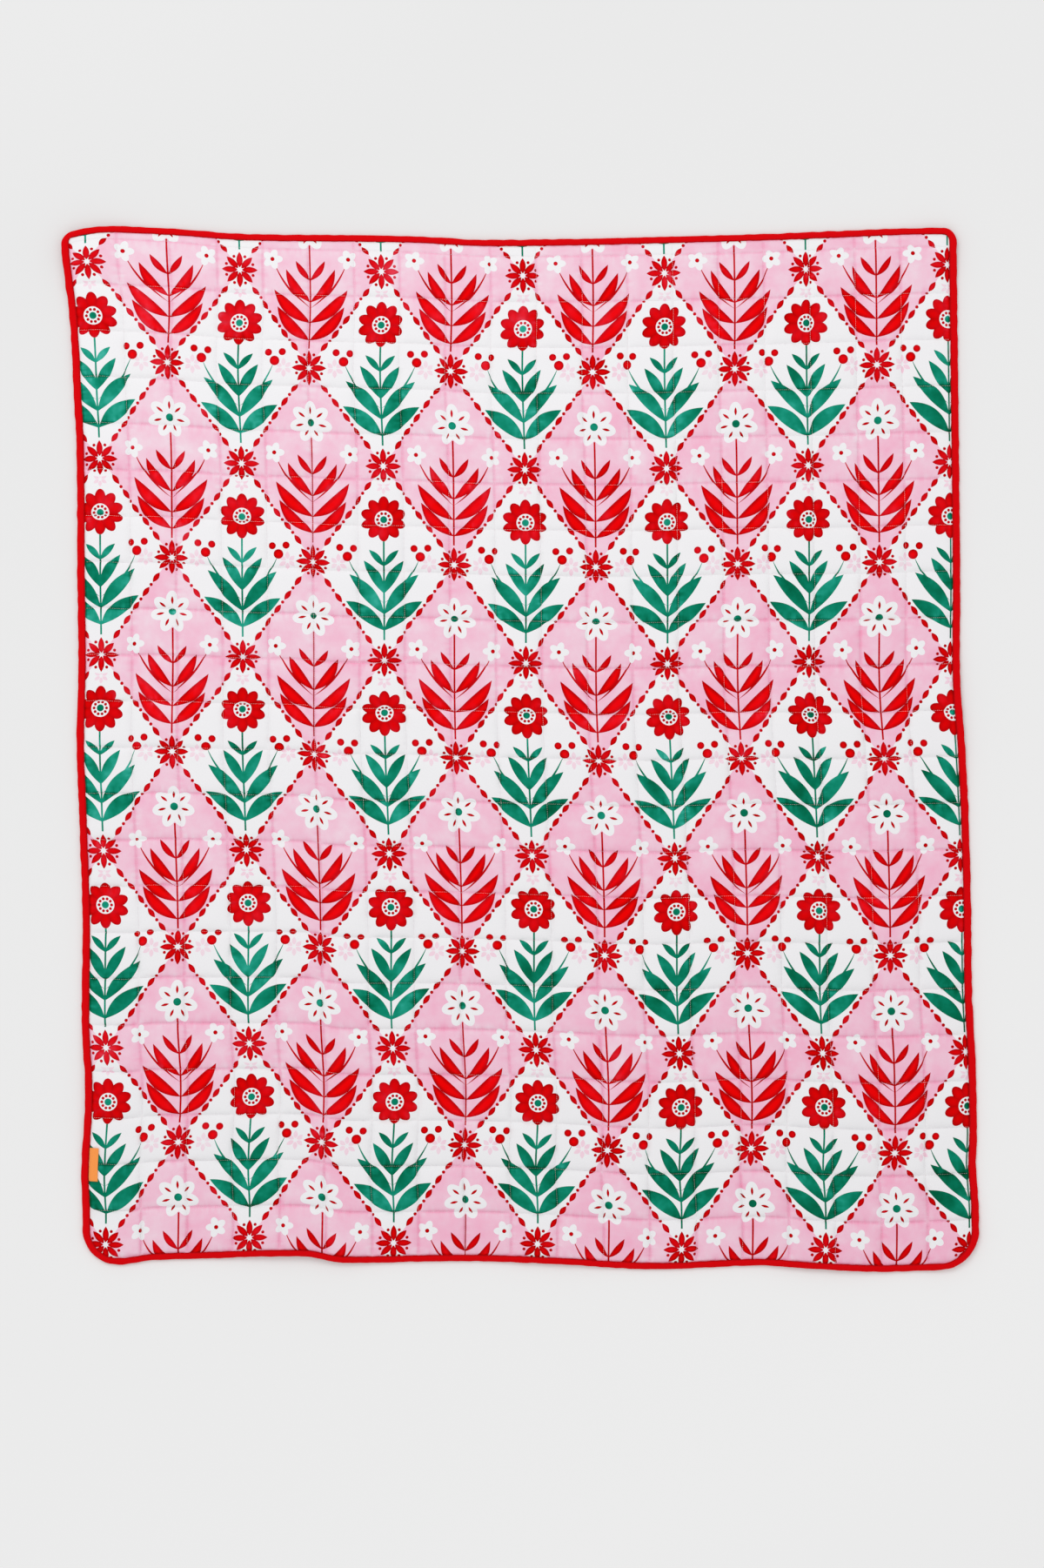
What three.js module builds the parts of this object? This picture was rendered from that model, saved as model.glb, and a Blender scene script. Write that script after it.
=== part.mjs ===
// A quilted throw that lies flat: a quilted panel, a folded binding round its edge and a side label.
// Millimetres, +Z up. The origin is on the resting surface, under the middle of the throw.
//
// Each piece is laid out on the flat cut cloth, in (across, along, height), and settle() then moves it to
// where the cloth lies. Across runs from the left edge to the right edge, along from the hem to the top.
import * as THREE from 'three';

// ---- The cut cloth ----
const CLOTH_WIDTH = 1280;
const CLOTH_LENGTH = 1496;
const HALF_WIDTH = CLOTH_WIDTH / 2;
const HALF_LENGTH = CLOTH_LENGTH / 2;
const CORNER_STEPS = 4;
const CORNERS = {
  hemLeft: { side: -1, end: -1, radius: 50, startTurn: 2 },
  hemRight: { side: 1, end: -1, radius: 54, startTurn: 3 },
  topRight: { side: 1, end: 1, radius: 20, startTurn: 0 },
  topLeft: { side: -1, end: 1, radius: 16, startTurn: 1 },
};

// ---- Thicknesses, as heights above the surface under the cloth ----
const GAP = 0.3;
const SEAM_HEIGHT = 3.4;
const CROWN = 4.6;
const TONGUE_BOTTOM = 1.5;
const TONGUE_TOP = 3.7;
const TONGUE_TIP = 1.8;

// ---- The folded binding ----
const BINDING_FACE = { sides: 11.2, ends: 9.9 };
const BINDING_CLOTH = TONGUE_BOTTOM - GAP;
const BINDING_TOP = TONGUE_TOP + GAP + BINDING_CLOTH;
const BINDING_ROUNDING = 1.3;

// ---- The quilting: straight seams that lean and rise a little against the cut edges ----
const COLUMN_SEAMS = { count: 18, first: -561, pitch: 66.1, lean: 0.0065 };
const ROW_SEAMS = { count: 22, first: -677.5, pitch: 66.6, hemRise: 7, topRise: 10 };

// ---- The crowns between the seams ----
const CROWN_SHOULDER = 0.62;
const SHOULDER_HEIGHT = 0.8;
const CROWN_UNEVENNESS = 0.12;
const UNEVEN_STEP = { column: 1.7, row: 2.3 };

// ---- The side label: a ribbon folded once, its fold away from the binding ----
const LABEL = { from: -628.5, to: -580.5, clearance: 1.1, reach: 12.3, cloth: 0.5, steps: 3 };
const LABEL_FOLD_ROUNDING = 0.3;
const LABEL_SLOPE = 0.28;

// ---- How far each edge lies outside the straight cut line, by its place along that edge ----
const LEFT_EDGE = [
  { at: -748, out: -9 },
  { at: -677, out: -10 },
  { at: -615, out: -8 },
  { at: -502, out: -14 },
  { at: -402, out: -9 },
  { at: -252, out: -10 },
  { at: -102, out: -5 },
  { at: 0, out: -1.5 },
  { at: 115, out: -4 },
  { at: 247, out: -2.5 },
  { at: 422, out: -1.5 },
  { at: 552, out: 4.2 },
  { at: 650, out: 0 },
  { at: 748, out: 2 },
];
const RIGHT_EDGE = [
  { at: -748, out: 18 },
  { at: -660, out: 18.5 },
  { at: -600, out: 14.5 },
  { at: -552, out: 16 },
  { at: -452, out: 14 },
  { at: -352, out: 9 },
  { at: -227, out: 7.5 },
  { at: -102, out: 4 },
  { at: -2, out: -1 },
  { at: 97, out: -8.5 },
  { at: 240, out: -8 },
  { at: 522, out: -11 },
  { at: 748, out: -14 },
];
const HEM_EDGE = [
  { at: -640, out: -8 },
  { at: -580, out: -6.5 },
  { at: -540, out: -12 },
  { at: -480, out: -14.5 },
  { at: -322, out: -18.5 },
  { at: -270, out: -9.5 },
  { at: -197, out: -9.5 },
  { at: -90, out: -11 },
  { at: 27, out: -7.6 },
  { at: 177, out: 0.6 },
  { at: 327, out: -5 },
  { at: 410, out: 0 },
  { at: 502, out: 4 },
  { at: 640, out: -1 },
];
const TOP_EDGE = [
  { at: -640, out: 1.5 },
  { at: -605, out: 5 },
  { at: -575, out: 3.2 },
  { at: -497, out: -0.4 },
  { at: -397, out: -8 },
  { at: -247, out: -10 },
  { at: -150, out: -11.5 },
  { at: -47, out: -16.5 },
  { at: 77, out: -15.5 },
  { at: 227, out: -12 },
  { at: 377, out: -7.8 },
  { at: 502, out: -2.6 },
  { at: 560, out: -0.4 },
  { at: 640, out: 0 },
];

// ---- Places where the cloth was drawn aside, and how far ----
const PULLS = [
  { across: -640, along: 730, reach: 190, right: -18, up: 0 },
  { across: -640, along: 748, reach: 75, right: 0, up: -10 },
];

// ---- Places where the edge stands off the surface ----
const LIFTS = [
  { across: -640, along: 748, reach: 130, rise: 9 },
  { across: 640, along: 748, reach: 100, rise: 5 },
  { across: -330, along: -748, reach: 150, rise: 6 },
  { across: 40, along: -748, reach: 110, rise: 3 },
  { across: 420, along: -748, reach: 130, rise: 4 },
  { across: 640, along: -748, reach: 110, rise: 4 },
  { across: 640, along: 50, reach: 130, rise: 4 },
  { across: -640, along: -500, reach: 120, rise: 3 },
];

// ---- Soft folds in the face: ridges above zero and troughs below it ----
const FOLDS = [
  { across: 590, along: 712, turn: -42, length: 70, width: 12, height: -1.6 },
  { across: -590, along: 700, turn: -50, length: 110, width: 16, height: 1.8 },
  { across: 560, along: -610, turn: 48, length: 120, width: 16, height: 1.6 },
  { across: 596, along: -655, turn: 40, length: 110, width: 14, height: -1.6 },
  { across: -330, along: -700, turn: 84, length: 120, width: 20, height: 1.8 },
  { across: 60, along: -700, turn: 96, length: 110, width: 18, height: 1.4 },
];

/** The smooth curve through a table's rows, read at one place. */
function readEdge(table, place) {
  const last = table.length - 1;
  const at = THREE.MathUtils.clamp(place, table[0].at, table[last].at);
  let row = 0;
  while (row < last - 1 && at > table[row + 1].at) {
    row += 1;
  }
  const slopeAt = (index) => {
    const before = table[Math.max(index - 1, 0)];
    const after = table[Math.min(index + 1, last)];
    return (after.out - before.out) / (after.at - before.at);
  };
  const start = table[row];
  const end = table[row + 1];
  const span = end.at - start.at;
  const u = (at - start.at) / span;
  const bend = u * u * (3 - 2 * u);
  const leaving = u * (1 - u) * (1 - u) * span * slopeAt(row);
  const arriving = u * u * (1 - u) * span * slopeAt(row + 1);
  return start.out + (end.out - start.out) * bend + leaving - arriving;
}

/** One at the middle of a round patch, falling smoothly to zero at its rim. */
function patch(spot, across, along) {
  const distance = Math.hypot(across - spot.across, along - spot.along) / spot.reach;
  return distance < 1 ? (1 - distance * distance) ** 2 : 0;
}

/** How far the cloth stands off the surface. */
function lift(across, along) {
  return LIFTS.reduce((sum, spot) => sum + spot.rise * patch(spot, across, along), 0);
}

/** What the soft folds add to the height of the face. */
function foldHeight(across, along) {
  let height = 0;
  for (const fold of FOLDS) {
    const turn = THREE.MathUtils.degToRad(fold.turn);
    const right = across - fold.across;
    const up = along - fold.along;
    const onward = (right * Math.cos(turn) + up * Math.sin(turn)) / (fold.length / 2);
    const aside = (up * Math.cos(turn) - right * Math.sin(turn)) / fold.width;
    if (Math.abs(onward) < 1) {
      height += fold.height * (1 - onward * onward) * Math.exp(-aside * aside);
    }
  }
  return height;
}

/** Moves a point of the flat cut cloth to where the cloth lies. */
function settle(across, along, height) {
  const rightShare = across / CLOTH_WIDTH + 0.5;
  const topShare = along / CLOTH_LENGTH + 0.5;
  let x = across - readEdge(LEFT_EDGE, along) * (1 - rightShare) + readEdge(RIGHT_EDGE, along) * rightShare;
  let y = along - readEdge(HEM_EDGE, across) * (1 - topShare) + readEdge(TOP_EDGE, across) * topShare;
  for (const pull of PULLS) {
    x += pull.right * patch(pull, across, along);
    y += pull.up * patch(pull, across, along);
  }
  return new THREE.Vector3(x, y, height);
}

/** Where column seam number column (from 1) runs, at a place along the cloth. */
function columnSeam(column, along) {
  return COLUMN_SEAMS.first + COLUMN_SEAMS.pitch * (column - 1) - COLUMN_SEAMS.lean * along;
}

/** Where row seam number row (from 1) runs, at a place across the cloth. */
function rowSeam(row, across) {
  const level = ROW_SEAMS.first + ROW_SEAMS.pitch * (row - 1);
  const topShare = level / CLOTH_LENGTH + 0.5;
  const rise = THREE.MathUtils.lerp(ROW_SEAMS.hemRise, ROW_SEAMS.topRise, topShare);
  return level + rise * ((HALF_WIDTH - across) / CLOTH_WIDTH) ** 2;
}

/** The binding's face width where the edge points outward along (outX, outY). */
function bindingFace(outX) {
  return BINDING_FACE.ends + (BINDING_FACE.sides - BINDING_FACE.ends) * outX * outX;
}

/** A station on the cut edge: its place, outward direction, binding width and lift. */
function makeStation(across, along, outX, outY) {
  return { across, along, outX, outY, width: bindingFace(outX), lift: lift(across, along) };
}

/** The point a given distance inside a station, at a height above the cloth's underside. */
function insideStation(station, inset, height) {
  const across = station.across - station.outX * inset;
  const along = station.along - station.outY * inset;
  return settle(across, along, station.lift + height);
}

/** The stations round one corner, anticlockwise. */
function cornerStations(corner) {
  const centreAcross = corner.side * (HALF_WIDTH - corner.radius);
  const centreAlong = corner.end * (HALF_LENGTH - corner.radius);
  const stations = [];
  for (let step = 0; step <= CORNER_STEPS; step += 1) {
    const turn = (Math.PI / 2) * (corner.startTurn + step / CORNER_STEPS);
    const outX = Math.cos(turn);
    const outY = Math.sin(turn);
    const across = centreAcross + corner.radius * outX;
    const along = centreAlong + corner.radius * outY;
    stations.push(makeStation(across, along, outX, outY));
  }
  return stations;
}

/** The station halfway between two others on the same straight edge. */
function midway(first, second) {
  const across = (first.across + second.across) / 2;
  const along = (first.along + second.along) / 2;
  return makeStation(across, along, first.outX, first.outY);
}

/** Every station on the edge: one at each seam's end, and a few round each corner. */
function makeStations() {
  const columns = Array.from({ length: COLUMN_SEAMS.count }, (_, index) => index + 1);
  const rows = Array.from({ length: ROW_SEAMS.count }, (_, index) => index + 1);
  const hem = columns.map((column) => makeStation(columnSeam(column, -HALF_LENGTH), -HALF_LENGTH, 0, -1));
  const top = columns.map((column) => makeStation(columnSeam(column, HALF_LENGTH), HALF_LENGTH, 0, 1));
  const left = rows.map((row) => makeStation(-HALF_WIDTH, rowSeam(row, -HALF_WIDTH), -1, 0));
  const right = rows.map((row) => makeStation(HALF_WIDTH, rowSeam(row, HALF_WIDTH), 1, 0));
  const arc = {};
  for (const [name, sizes] of Object.entries(CORNERS)) {
    arc[name] = cornerStations(sizes);
  }
  const corner = {
    hemLeft: [...arc.hemLeft, midway(hem[0], arc.hemLeft.at(-1))],
    hemRight: [midway(hem.at(-1), arc.hemRight[0]), ...arc.hemRight],
    topRight: [...arc.topRight, midway(top.at(-1), arc.topRight.at(-1))],
    topLeft: [midway(top[0], arc.topLeft[0]), ...arc.topLeft],
  };
  const round = [
    ...corner.hemLeft, ...hem, ...corner.hemRight, ...right,
    ...corner.topRight, ...[...top].reverse(), ...corner.topLeft, ...[...left].reverse(),
  ];
  return { hem, top, left, right, corner, round };
}

/** Collects points and triangles, and makes a closed geometry of them. */
class ClothSolid {
  constructor() {
    this.points = [];
    this.triangles = [];
  }

  /** Adds a point and returns its number. */
  point(vector) {
    this.points.push(vector.x, vector.y, vector.z);
    return this.points.length / 3 - 1;
  }

  /** Adds a four-sided face, its corners anticlockwise as seen from outside. */
  quad(a, b, c, d) {
    this.triangles.push(a, b, c, a, c, d);
  }

  /** Joins two closed rings of the same length by a band of faces. */
  band(ring, nextRing) {
    ring.forEach((corner, index) => {
      const after = (index + 1) % ring.length;
      this.quad(corner, ring[after], nextRing[after], nextRing[index]);
    });
  }

  /** Closes a ring with triangles from one point. */
  fan(ring, hub) {
    ring.forEach((corner, index) => {
      this.triangles.push(corner, ring[(index + 1) % ring.length], hub);
    });
  }

  /** The finished geometry. */
  geometry() {
    const geometry = new THREE.BufferGeometry();
    geometry.setAttribute('position', new THREE.Float32BufferAttribute(this.points, 3));
    geometry.setIndex(this.triangles);
    geometry.computeVertexNormals();
    return geometry;
  }
}

/** The place of a square's middle, from its corners. */
function middleOf(corners) {
  const middle = corners.reduce((sum, corner) => sum.add(corner.flat), new THREE.Vector2());
  return middle.divideScalar(corners.length);
}

/** A square's extent along one direction, as a share of the seams' pitch, at most one. */
function fullness(corners, direction, pitch) {
  const places = corners.map((corner) => corner.flat[direction]);
  return Math.min(1, (Math.max(...places) - Math.min(...places)) / pitch);
}

/** The crown over one quilted square: a sloping shoulder all round and a low top. */
function addCrown(solid, corners, column, row) {
  const middle = middleOf(corners);
  const uneven = 1 + CROWN_UNEVENNESS * Math.sin(UNEVEN_STEP.column * column + UNEVEN_STEP.row * row);
  const full = fullness(corners, 'x', COLUMN_SEAMS.pitch) * fullness(corners, 'y', ROW_SEAMS.pitch);
  const crown = CROWN * uneven * full;
  const facePoint = (flat, share) => {
    const height = SEAM_HEIGHT + crown * share + lift(flat.x, flat.y) + foldHeight(flat.x, flat.y);
    return solid.point(settle(flat.x, flat.y, height));
  };
  const shoulder = corners.map((corner) => {
    return facePoint(middle.clone().lerp(corner.flat, CROWN_SHOULDER), SHOULDER_HEIGHT);
  });
  solid.band(corners.map((corner) => corner.face), shoulder);
  solid.fan(shoulder, facePoint(middle, 1));
}

/** The flat underside of one quilted square, its triangles all from one corner. */
function addUnderside(solid, corners) {
  const [hub, ...ring] = corners.map((corner) => corner.under).reverse();
  for (let corner = 1; corner < ring.length; corner += 1) {
    solid.triangles.push(hub, ring[corner - 1], ring[corner]);
  }
}

/** Adds the thin tongue that goes into the binding, and returns the panel's node at each station. */
function addTongue(solid, stations) {
  const nodes = new Map();
  const rings = { face: [], tipTop: [], tipBottom: [], root: [], under: [] };
  for (const station of stations.round) {
    const inset = station.width + GAP;
    const across = station.across - station.outX * inset;
    const along = station.along - station.outY * inset;
    const node = {
      flat: new THREE.Vector2(across, along),
      face: solid.point(insideStation(station, inset, TONGUE_TOP)),
      under: solid.point(insideStation(station, inset, 0)),
    };
    nodes.set(station, node);
    rings.face.push(node.face);
    rings.tipTop.push(solid.point(insideStation(station, TONGUE_TIP, TONGUE_TOP)));
    rings.tipBottom.push(solid.point(insideStation(station, TONGUE_TIP, TONGUE_BOTTOM)));
    rings.root.push(solid.point(insideStation(station, inset, TONGUE_BOTTOM)));
    rings.under.push(node.under);
  }
  solid.band(rings.tipTop, rings.face);
  solid.band(rings.tipBottom, rings.tipTop);
  solid.band(rings.root, rings.tipBottom);
  solid.band(rings.under, rings.root);
  return nodes;
}

/** The panel's node where a column seam and a row seam cross. */
function makeCrossing(solid, column, row) {
  const along = rowSeam(row, columnSeam(column, 0));
  const across = columnSeam(column, along);
  const rise = lift(across, along);
  return {
    flat: new THREE.Vector2(across, along),
    face: solid.point(settle(across, along, rise + SEAM_HEIGHT)),
    under: solid.point(settle(across, along, rise)),
  };
}

/** The panel's nodes as a grid: crossings inside, edge stations round them, lists at the four corners. */
function makeNodeGrid(solid, stations) {
  const nodeOf = addTongue(solid, stations);
  const endRow = (cornerLeft, edge, cornerRight) => [
    cornerLeft.map((station) => nodeOf.get(station)),
    ...edge.map((station) => [nodeOf.get(station)]),
    cornerRight.map((station) => nodeOf.get(station)),
  ];
  const grid = [endRow(stations.corner.hemLeft, stations.hem, stations.corner.hemRight)];
  for (let row = 1; row <= ROW_SEAMS.count; row += 1) {
    const nodes = [[nodeOf.get(stations.left[row - 1])]];
    for (let column = 1; column <= COLUMN_SEAMS.count; column += 1) {
      nodes.push([makeCrossing(solid, column, row)]);
    }
    nodes.push([nodeOf.get(stations.right[row - 1])]);
    grid.push(nodes);
  }
  grid.push(endRow(stations.corner.topLeft, stations.top, stations.corner.topRight));
  return grid;
}

/** The quilted panel: crowns over every square, a flat underside and a thin tongue for the binding. */
function makePanel(stations) {
  const solid = new ClothSolid();
  const grid = makeNodeGrid(solid, stations);
  for (let row = 0; row <= ROW_SEAMS.count; row += 1) {
    for (let column = 0; column <= COLUMN_SEAMS.count; column += 1) {
      const corners = [
        ...grid[row][column], ...grid[row][column + 1],
        ...grid[row + 1][column + 1], ...grid[row + 1][column],
      ];
      addCrown(solid, corners, column, row);
      addUnderside(solid, corners);
    }
  }
  return solid.geometry();
}

/** The binding: a strip folded round the cut edge, its section a U that opens inward. */
function makeBinding(stations) {
  const solid = new ClothSolid();
  const tipTop = TONGUE_TOP + GAP;
  const innerFold = TONGUE_TIP - GAP;
  const sections = stations.round.map((station) => {
    const outline = [
      [station.width, 0],
      [BINDING_ROUNDING, 0],
      [0, BINDING_ROUNDING],
      [0, BINDING_TOP - BINDING_ROUNDING],
      [BINDING_ROUNDING, BINDING_TOP],
      [station.width, BINDING_TOP],
      [station.width, tipTop],
      [innerFold, tipTop],
      [innerFold, BINDING_CLOTH],
      [station.width, BINDING_CLOTH],
    ];
    return outline.map(([inset, height]) => solid.point(insideStation(station, inset, height)));
  });
  sections.forEach((section, index) => {
    solid.band(sections[(index + 1) % sections.length], section);
  });
  return solid.geometry();
}

/** The side label: a ribbon folded once, its two layers a little apart, lying on the first square. */
function makeLabel() {
  const solid = new ClothSolid();
  const near = BINDING_FACE.sides + LABEL.clearance;
  const far = near + LABEL.reach;
  const thickness = 2 * LABEL.cloth + GAP;
  const inner = far - LABEL.cloth;
  const outline = [
    [near, 0],
    [far - LABEL_FOLD_ROUNDING, 0],
    [far, LABEL_FOLD_ROUNDING],
    [far, thickness - LABEL_FOLD_ROUNDING],
    [far - LABEL_FOLD_ROUNDING, thickness],
    [near, thickness],
    [near, thickness - LABEL.cloth],
    [inner, thickness - LABEL.cloth],
    [inner, LABEL.cloth],
    [near, LABEL.cloth],
  ];
  const sections = [];
  for (let step = 0; step <= LABEL.steps; step += 1) {
    const along = THREE.MathUtils.lerp(LABEL.from, LABEL.to, step / LABEL.steps);
    sections.push(outline.map(([inset, height]) => {
      const seat = TONGUE_TOP + 2 * GAP + LABEL_SLOPE * (inset - near) + lift(-HALF_WIDTH, along);
      return solid.point(settle(inset - HALF_WIDTH, along, seat + height));
    }));
  }
  for (let step = 0; step < LABEL.steps; step += 1) {
    solid.band(sections[step + 1], sections[step]);
  }
  const profile = outline.map(([inset, height]) => new THREE.Vector2(inset, height));
  for (const [a, b, c] of THREE.ShapeUtils.triangulateShape(profile, [])) {
    solid.triangles.push(sections[0][a], sections[0][b], sections[0][c]);
    solid.triangles.push(sections[LABEL.steps][a], sections[LABEL.steps][c], sections[LABEL.steps][b]);
  }
  return solid.geometry();
}

/** A named piece with its own finish. */
function makePiece(name, geometry, color, roughness) {
  const material = new THREE.MeshStandardMaterial({ color, roughness, metalness: 0 });
  const piece = new THREE.Mesh(geometry, material);
  piece.name = name;
  return piece;
}

const stations = makeStations();
const throwGroup = new THREE.Group();
throwGroup.add(makePiece('edge_binding', makeBinding(stations), 0xd80d1c, 0.85));
throwGroup.add(makePiece('quilted_panel', makePanel(stations), 0xf3d3dd, 0.9));
throwGroup.add(makePiece('side_label', makeLabel(), 0xff9d50, 0.6));

const middle = new THREE.Box3().setFromObject(throwGroup).getCenter(new THREE.Vector3());
throwGroup.position.set(-middle.x, -middle.y, 0);

export default throwGroup;
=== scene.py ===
"""A quilted cotton throw that lies flat, printed face up: its cloth, thread, finishes and studio.

The cut cloth is laid out flat, in millimetres: across runs from the left edge to the right edge, along runs
from the hem to the top, and heights start at the cloth's underside. ClothPlan.place() moves a point of it to
where the cloth lies, in metres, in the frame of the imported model. Fields without a unit are in millimetres,
and a noise's seed only picks one unevenness among many.
"""

import logging
import math
from collections.abc import Callable, Iterable
from dataclasses import dataclass, field
from enum import Enum
from functools import partial, reduce
from typing import NamedTuple

import bmesh
import bpy
from bmesh.types import BMesh, BMFace
from bpy.types import ID, Material, NodeSocket, Object, World
from mathutils import Matrix, Vector, noise


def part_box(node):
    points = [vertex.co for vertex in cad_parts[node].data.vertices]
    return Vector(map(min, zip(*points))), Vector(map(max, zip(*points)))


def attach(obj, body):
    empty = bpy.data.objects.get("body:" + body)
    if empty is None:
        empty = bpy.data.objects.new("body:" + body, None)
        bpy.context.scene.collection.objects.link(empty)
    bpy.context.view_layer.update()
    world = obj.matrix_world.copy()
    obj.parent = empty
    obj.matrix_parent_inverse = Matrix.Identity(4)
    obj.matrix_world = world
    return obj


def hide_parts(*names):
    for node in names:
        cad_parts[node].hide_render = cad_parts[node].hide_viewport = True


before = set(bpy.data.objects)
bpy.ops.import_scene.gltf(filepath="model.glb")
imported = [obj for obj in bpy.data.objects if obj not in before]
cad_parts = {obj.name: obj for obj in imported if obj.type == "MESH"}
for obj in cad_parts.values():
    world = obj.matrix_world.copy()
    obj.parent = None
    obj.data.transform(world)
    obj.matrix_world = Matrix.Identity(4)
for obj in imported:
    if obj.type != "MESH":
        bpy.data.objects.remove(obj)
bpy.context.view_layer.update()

LOG = logging.getLogger("quilted_throw")
MM = 0.001
CLOTH_MAP = "cloth_mm"
SQUARES_MAP = "quilt_squares"
RIM_REACH = 6.0  # how far in from a printed shape's rim the red lies thicker, in millimetres
MERGED = 0.01  # corners of a grid that are nearer than this, in millimetres, become one
STITCH_SIDES, STITCH_RINGS = 4, 3  # thousands of stitches are sewn, so each has few faces
BLACK_KNEE = 0.04045  # the sRGB value below which the scale is a straight line
Colour = NodeSocket | tuple


# ---- Where the cloth lies ----


@dataclass(frozen=True)
class EdgeLine:
    """One edge of the cloth: places along it, with how far outside the straight cut line it lies there."""

    rows: tuple[tuple[float, float], ...]

    def slope(self, index: int) -> float:
        """The curve's slope at a row, from the rows on each side of it."""
        before, after = self.rows[max(index - 1, 0)], self.rows[min(index + 1, len(self.rows) - 1)]
        return (after[1] - before[1]) / (after[0] - before[0])

    def out(self, place: float) -> float:
        """How far outside the cut line the edge lies, on a smooth curve through the rows.

        Args:
            place: Where along the edge.

        Returns:
            Millimetres outward.
        """
        place = min(max(place, self.rows[0][0]), self.rows[-1][0])
        index = sum(place > at for at, _ in self.rows[1:-1])
        (start, start_out), (end, end_out) = self.rows[index:index + 2]
        span = end - start
        u = (place - start) / span
        bend = u * u * (3 - 2 * u)
        leaving = u * (1 - u) * (1 - u) * span * self.slope(index)
        arriving = u * u * (1 - u) * span * self.slope(index + 1)
        return start_out + (end_out - start_out) * bend + leaving - arriving


LEFT_EDGE = EdgeLine((
    (-748, -9), (-677, -10), (-615, -8), (-502, -14), (-402, -9), (-252, -10), (-102, -5), (0, -1.5),
    (115, -4), (247, -2.5), (422, -1.5), (552, 4.2), (650, 0), (748, 2),
))
RIGHT_EDGE = EdgeLine((
    (-748, 18), (-660, 18.5), (-600, 14.5), (-552, 16), (-452, 14), (-352, 9), (-227, 7.5), (-102, 4),
    (-2, -1), (97, -8.5), (240, -8), (522, -11), (748, -14),
))
HEM_EDGE = EdgeLine((
    (-640, -8), (-580, -6.5), (-540, -12), (-480, -14.5), (-322, -18.5), (-270, -9.5), (-197, -9.5),
    (-90, -11), (27, -7.6), (177, 0.6), (327, -5), (410, 0), (502, 4), (640, -1),
))
TOP_EDGE = EdgeLine((
    (-640, 1.5), (-605, 5), (-575, 3.2), (-497, -0.4), (-397, -8), (-247, -10), (-150, -11.5),
    (-47, -16.5), (77, -15.5), (227, -12), (377, -7.8), (502, -2.6), (560, -0.4), (640, 0),
))


@dataclass(frozen=True)
class Spot:
    """A round patch of cloth that was moved aside or lifted, most of all at its middle."""

    across: float
    along: float
    reach: float
    right: float = 0.0
    up: float = 0.0
    rise: float = 0.0

    def share(self, across: float, along: float) -> float:
        """The share of the spot's move that a point gets: it falls smoothly to zero at the spot's rim."""
        distance = math.hypot(across - self.across, along - self.along) / self.reach
        return (1 - distance * distance) ** 2 if distance < 1 else 0.0


PULLS = (Spot(-640, 730, 190, right=-18), Spot(-640, 748, 75, up=-10))
LIFTS = (
    Spot(-640, 748, 130, rise=9),
    Spot(640, 748, 100, rise=5),
    Spot(-330, -748, 150, rise=6),
    Spot(40, -748, 110, rise=3),
    Spot(420, -748, 130, rise=4),
    Spot(640, -748, 110, rise=4),
    Spot(640, 50, 130, rise=4),
    Spot(-640, -500, 120, rise=3),
)


@dataclass(frozen=True)
class Fold:
    """A soft ridge in the face, or a trough where its height is below zero. Its turn is in degrees."""

    across: float
    along: float
    turn: float
    length: float
    width: float
    height: float

    def rise(self, across: float, along: float) -> float:
        """What the fold adds to the height of the face.

        Args:
            across: The point's place across the cloth.
            along: Its place along the cloth.

        Returns:
            Millimetres upward.
        """
        turn = math.radians(self.turn)
        right, up = across - self.across, along - self.along
        onward = (right * math.cos(turn) + up * math.sin(turn)) / (self.length / 2)
        if abs(onward) >= 1:
            return 0.0
        aside = (up * math.cos(turn) - right * math.sin(turn)) / self.width
        return self.height * (1 - onward * onward) * math.exp(-aside * aside)


FOLDS = (
    Fold(590, 712, -42, 70, 12, -1.6),
    Fold(-590, 700, -50, 110, 16, 1.8),
    Fold(560, -610, 48, 120, 16, 1.6),
    Fold(596, -655, 40, 110, 14, -1.6),
    Fold(-330, -700, 84, 120, 20, 1.8),
    Fold(60, -700, 96, 110, 18, 1.4),
)


class EdgePlace(NamedTuple):
    """A place on the cut edge, which way is outward there, and how far round the edge it is."""

    across: float
    along: float
    out_across: float
    out_along: float
    travelled: float


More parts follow.
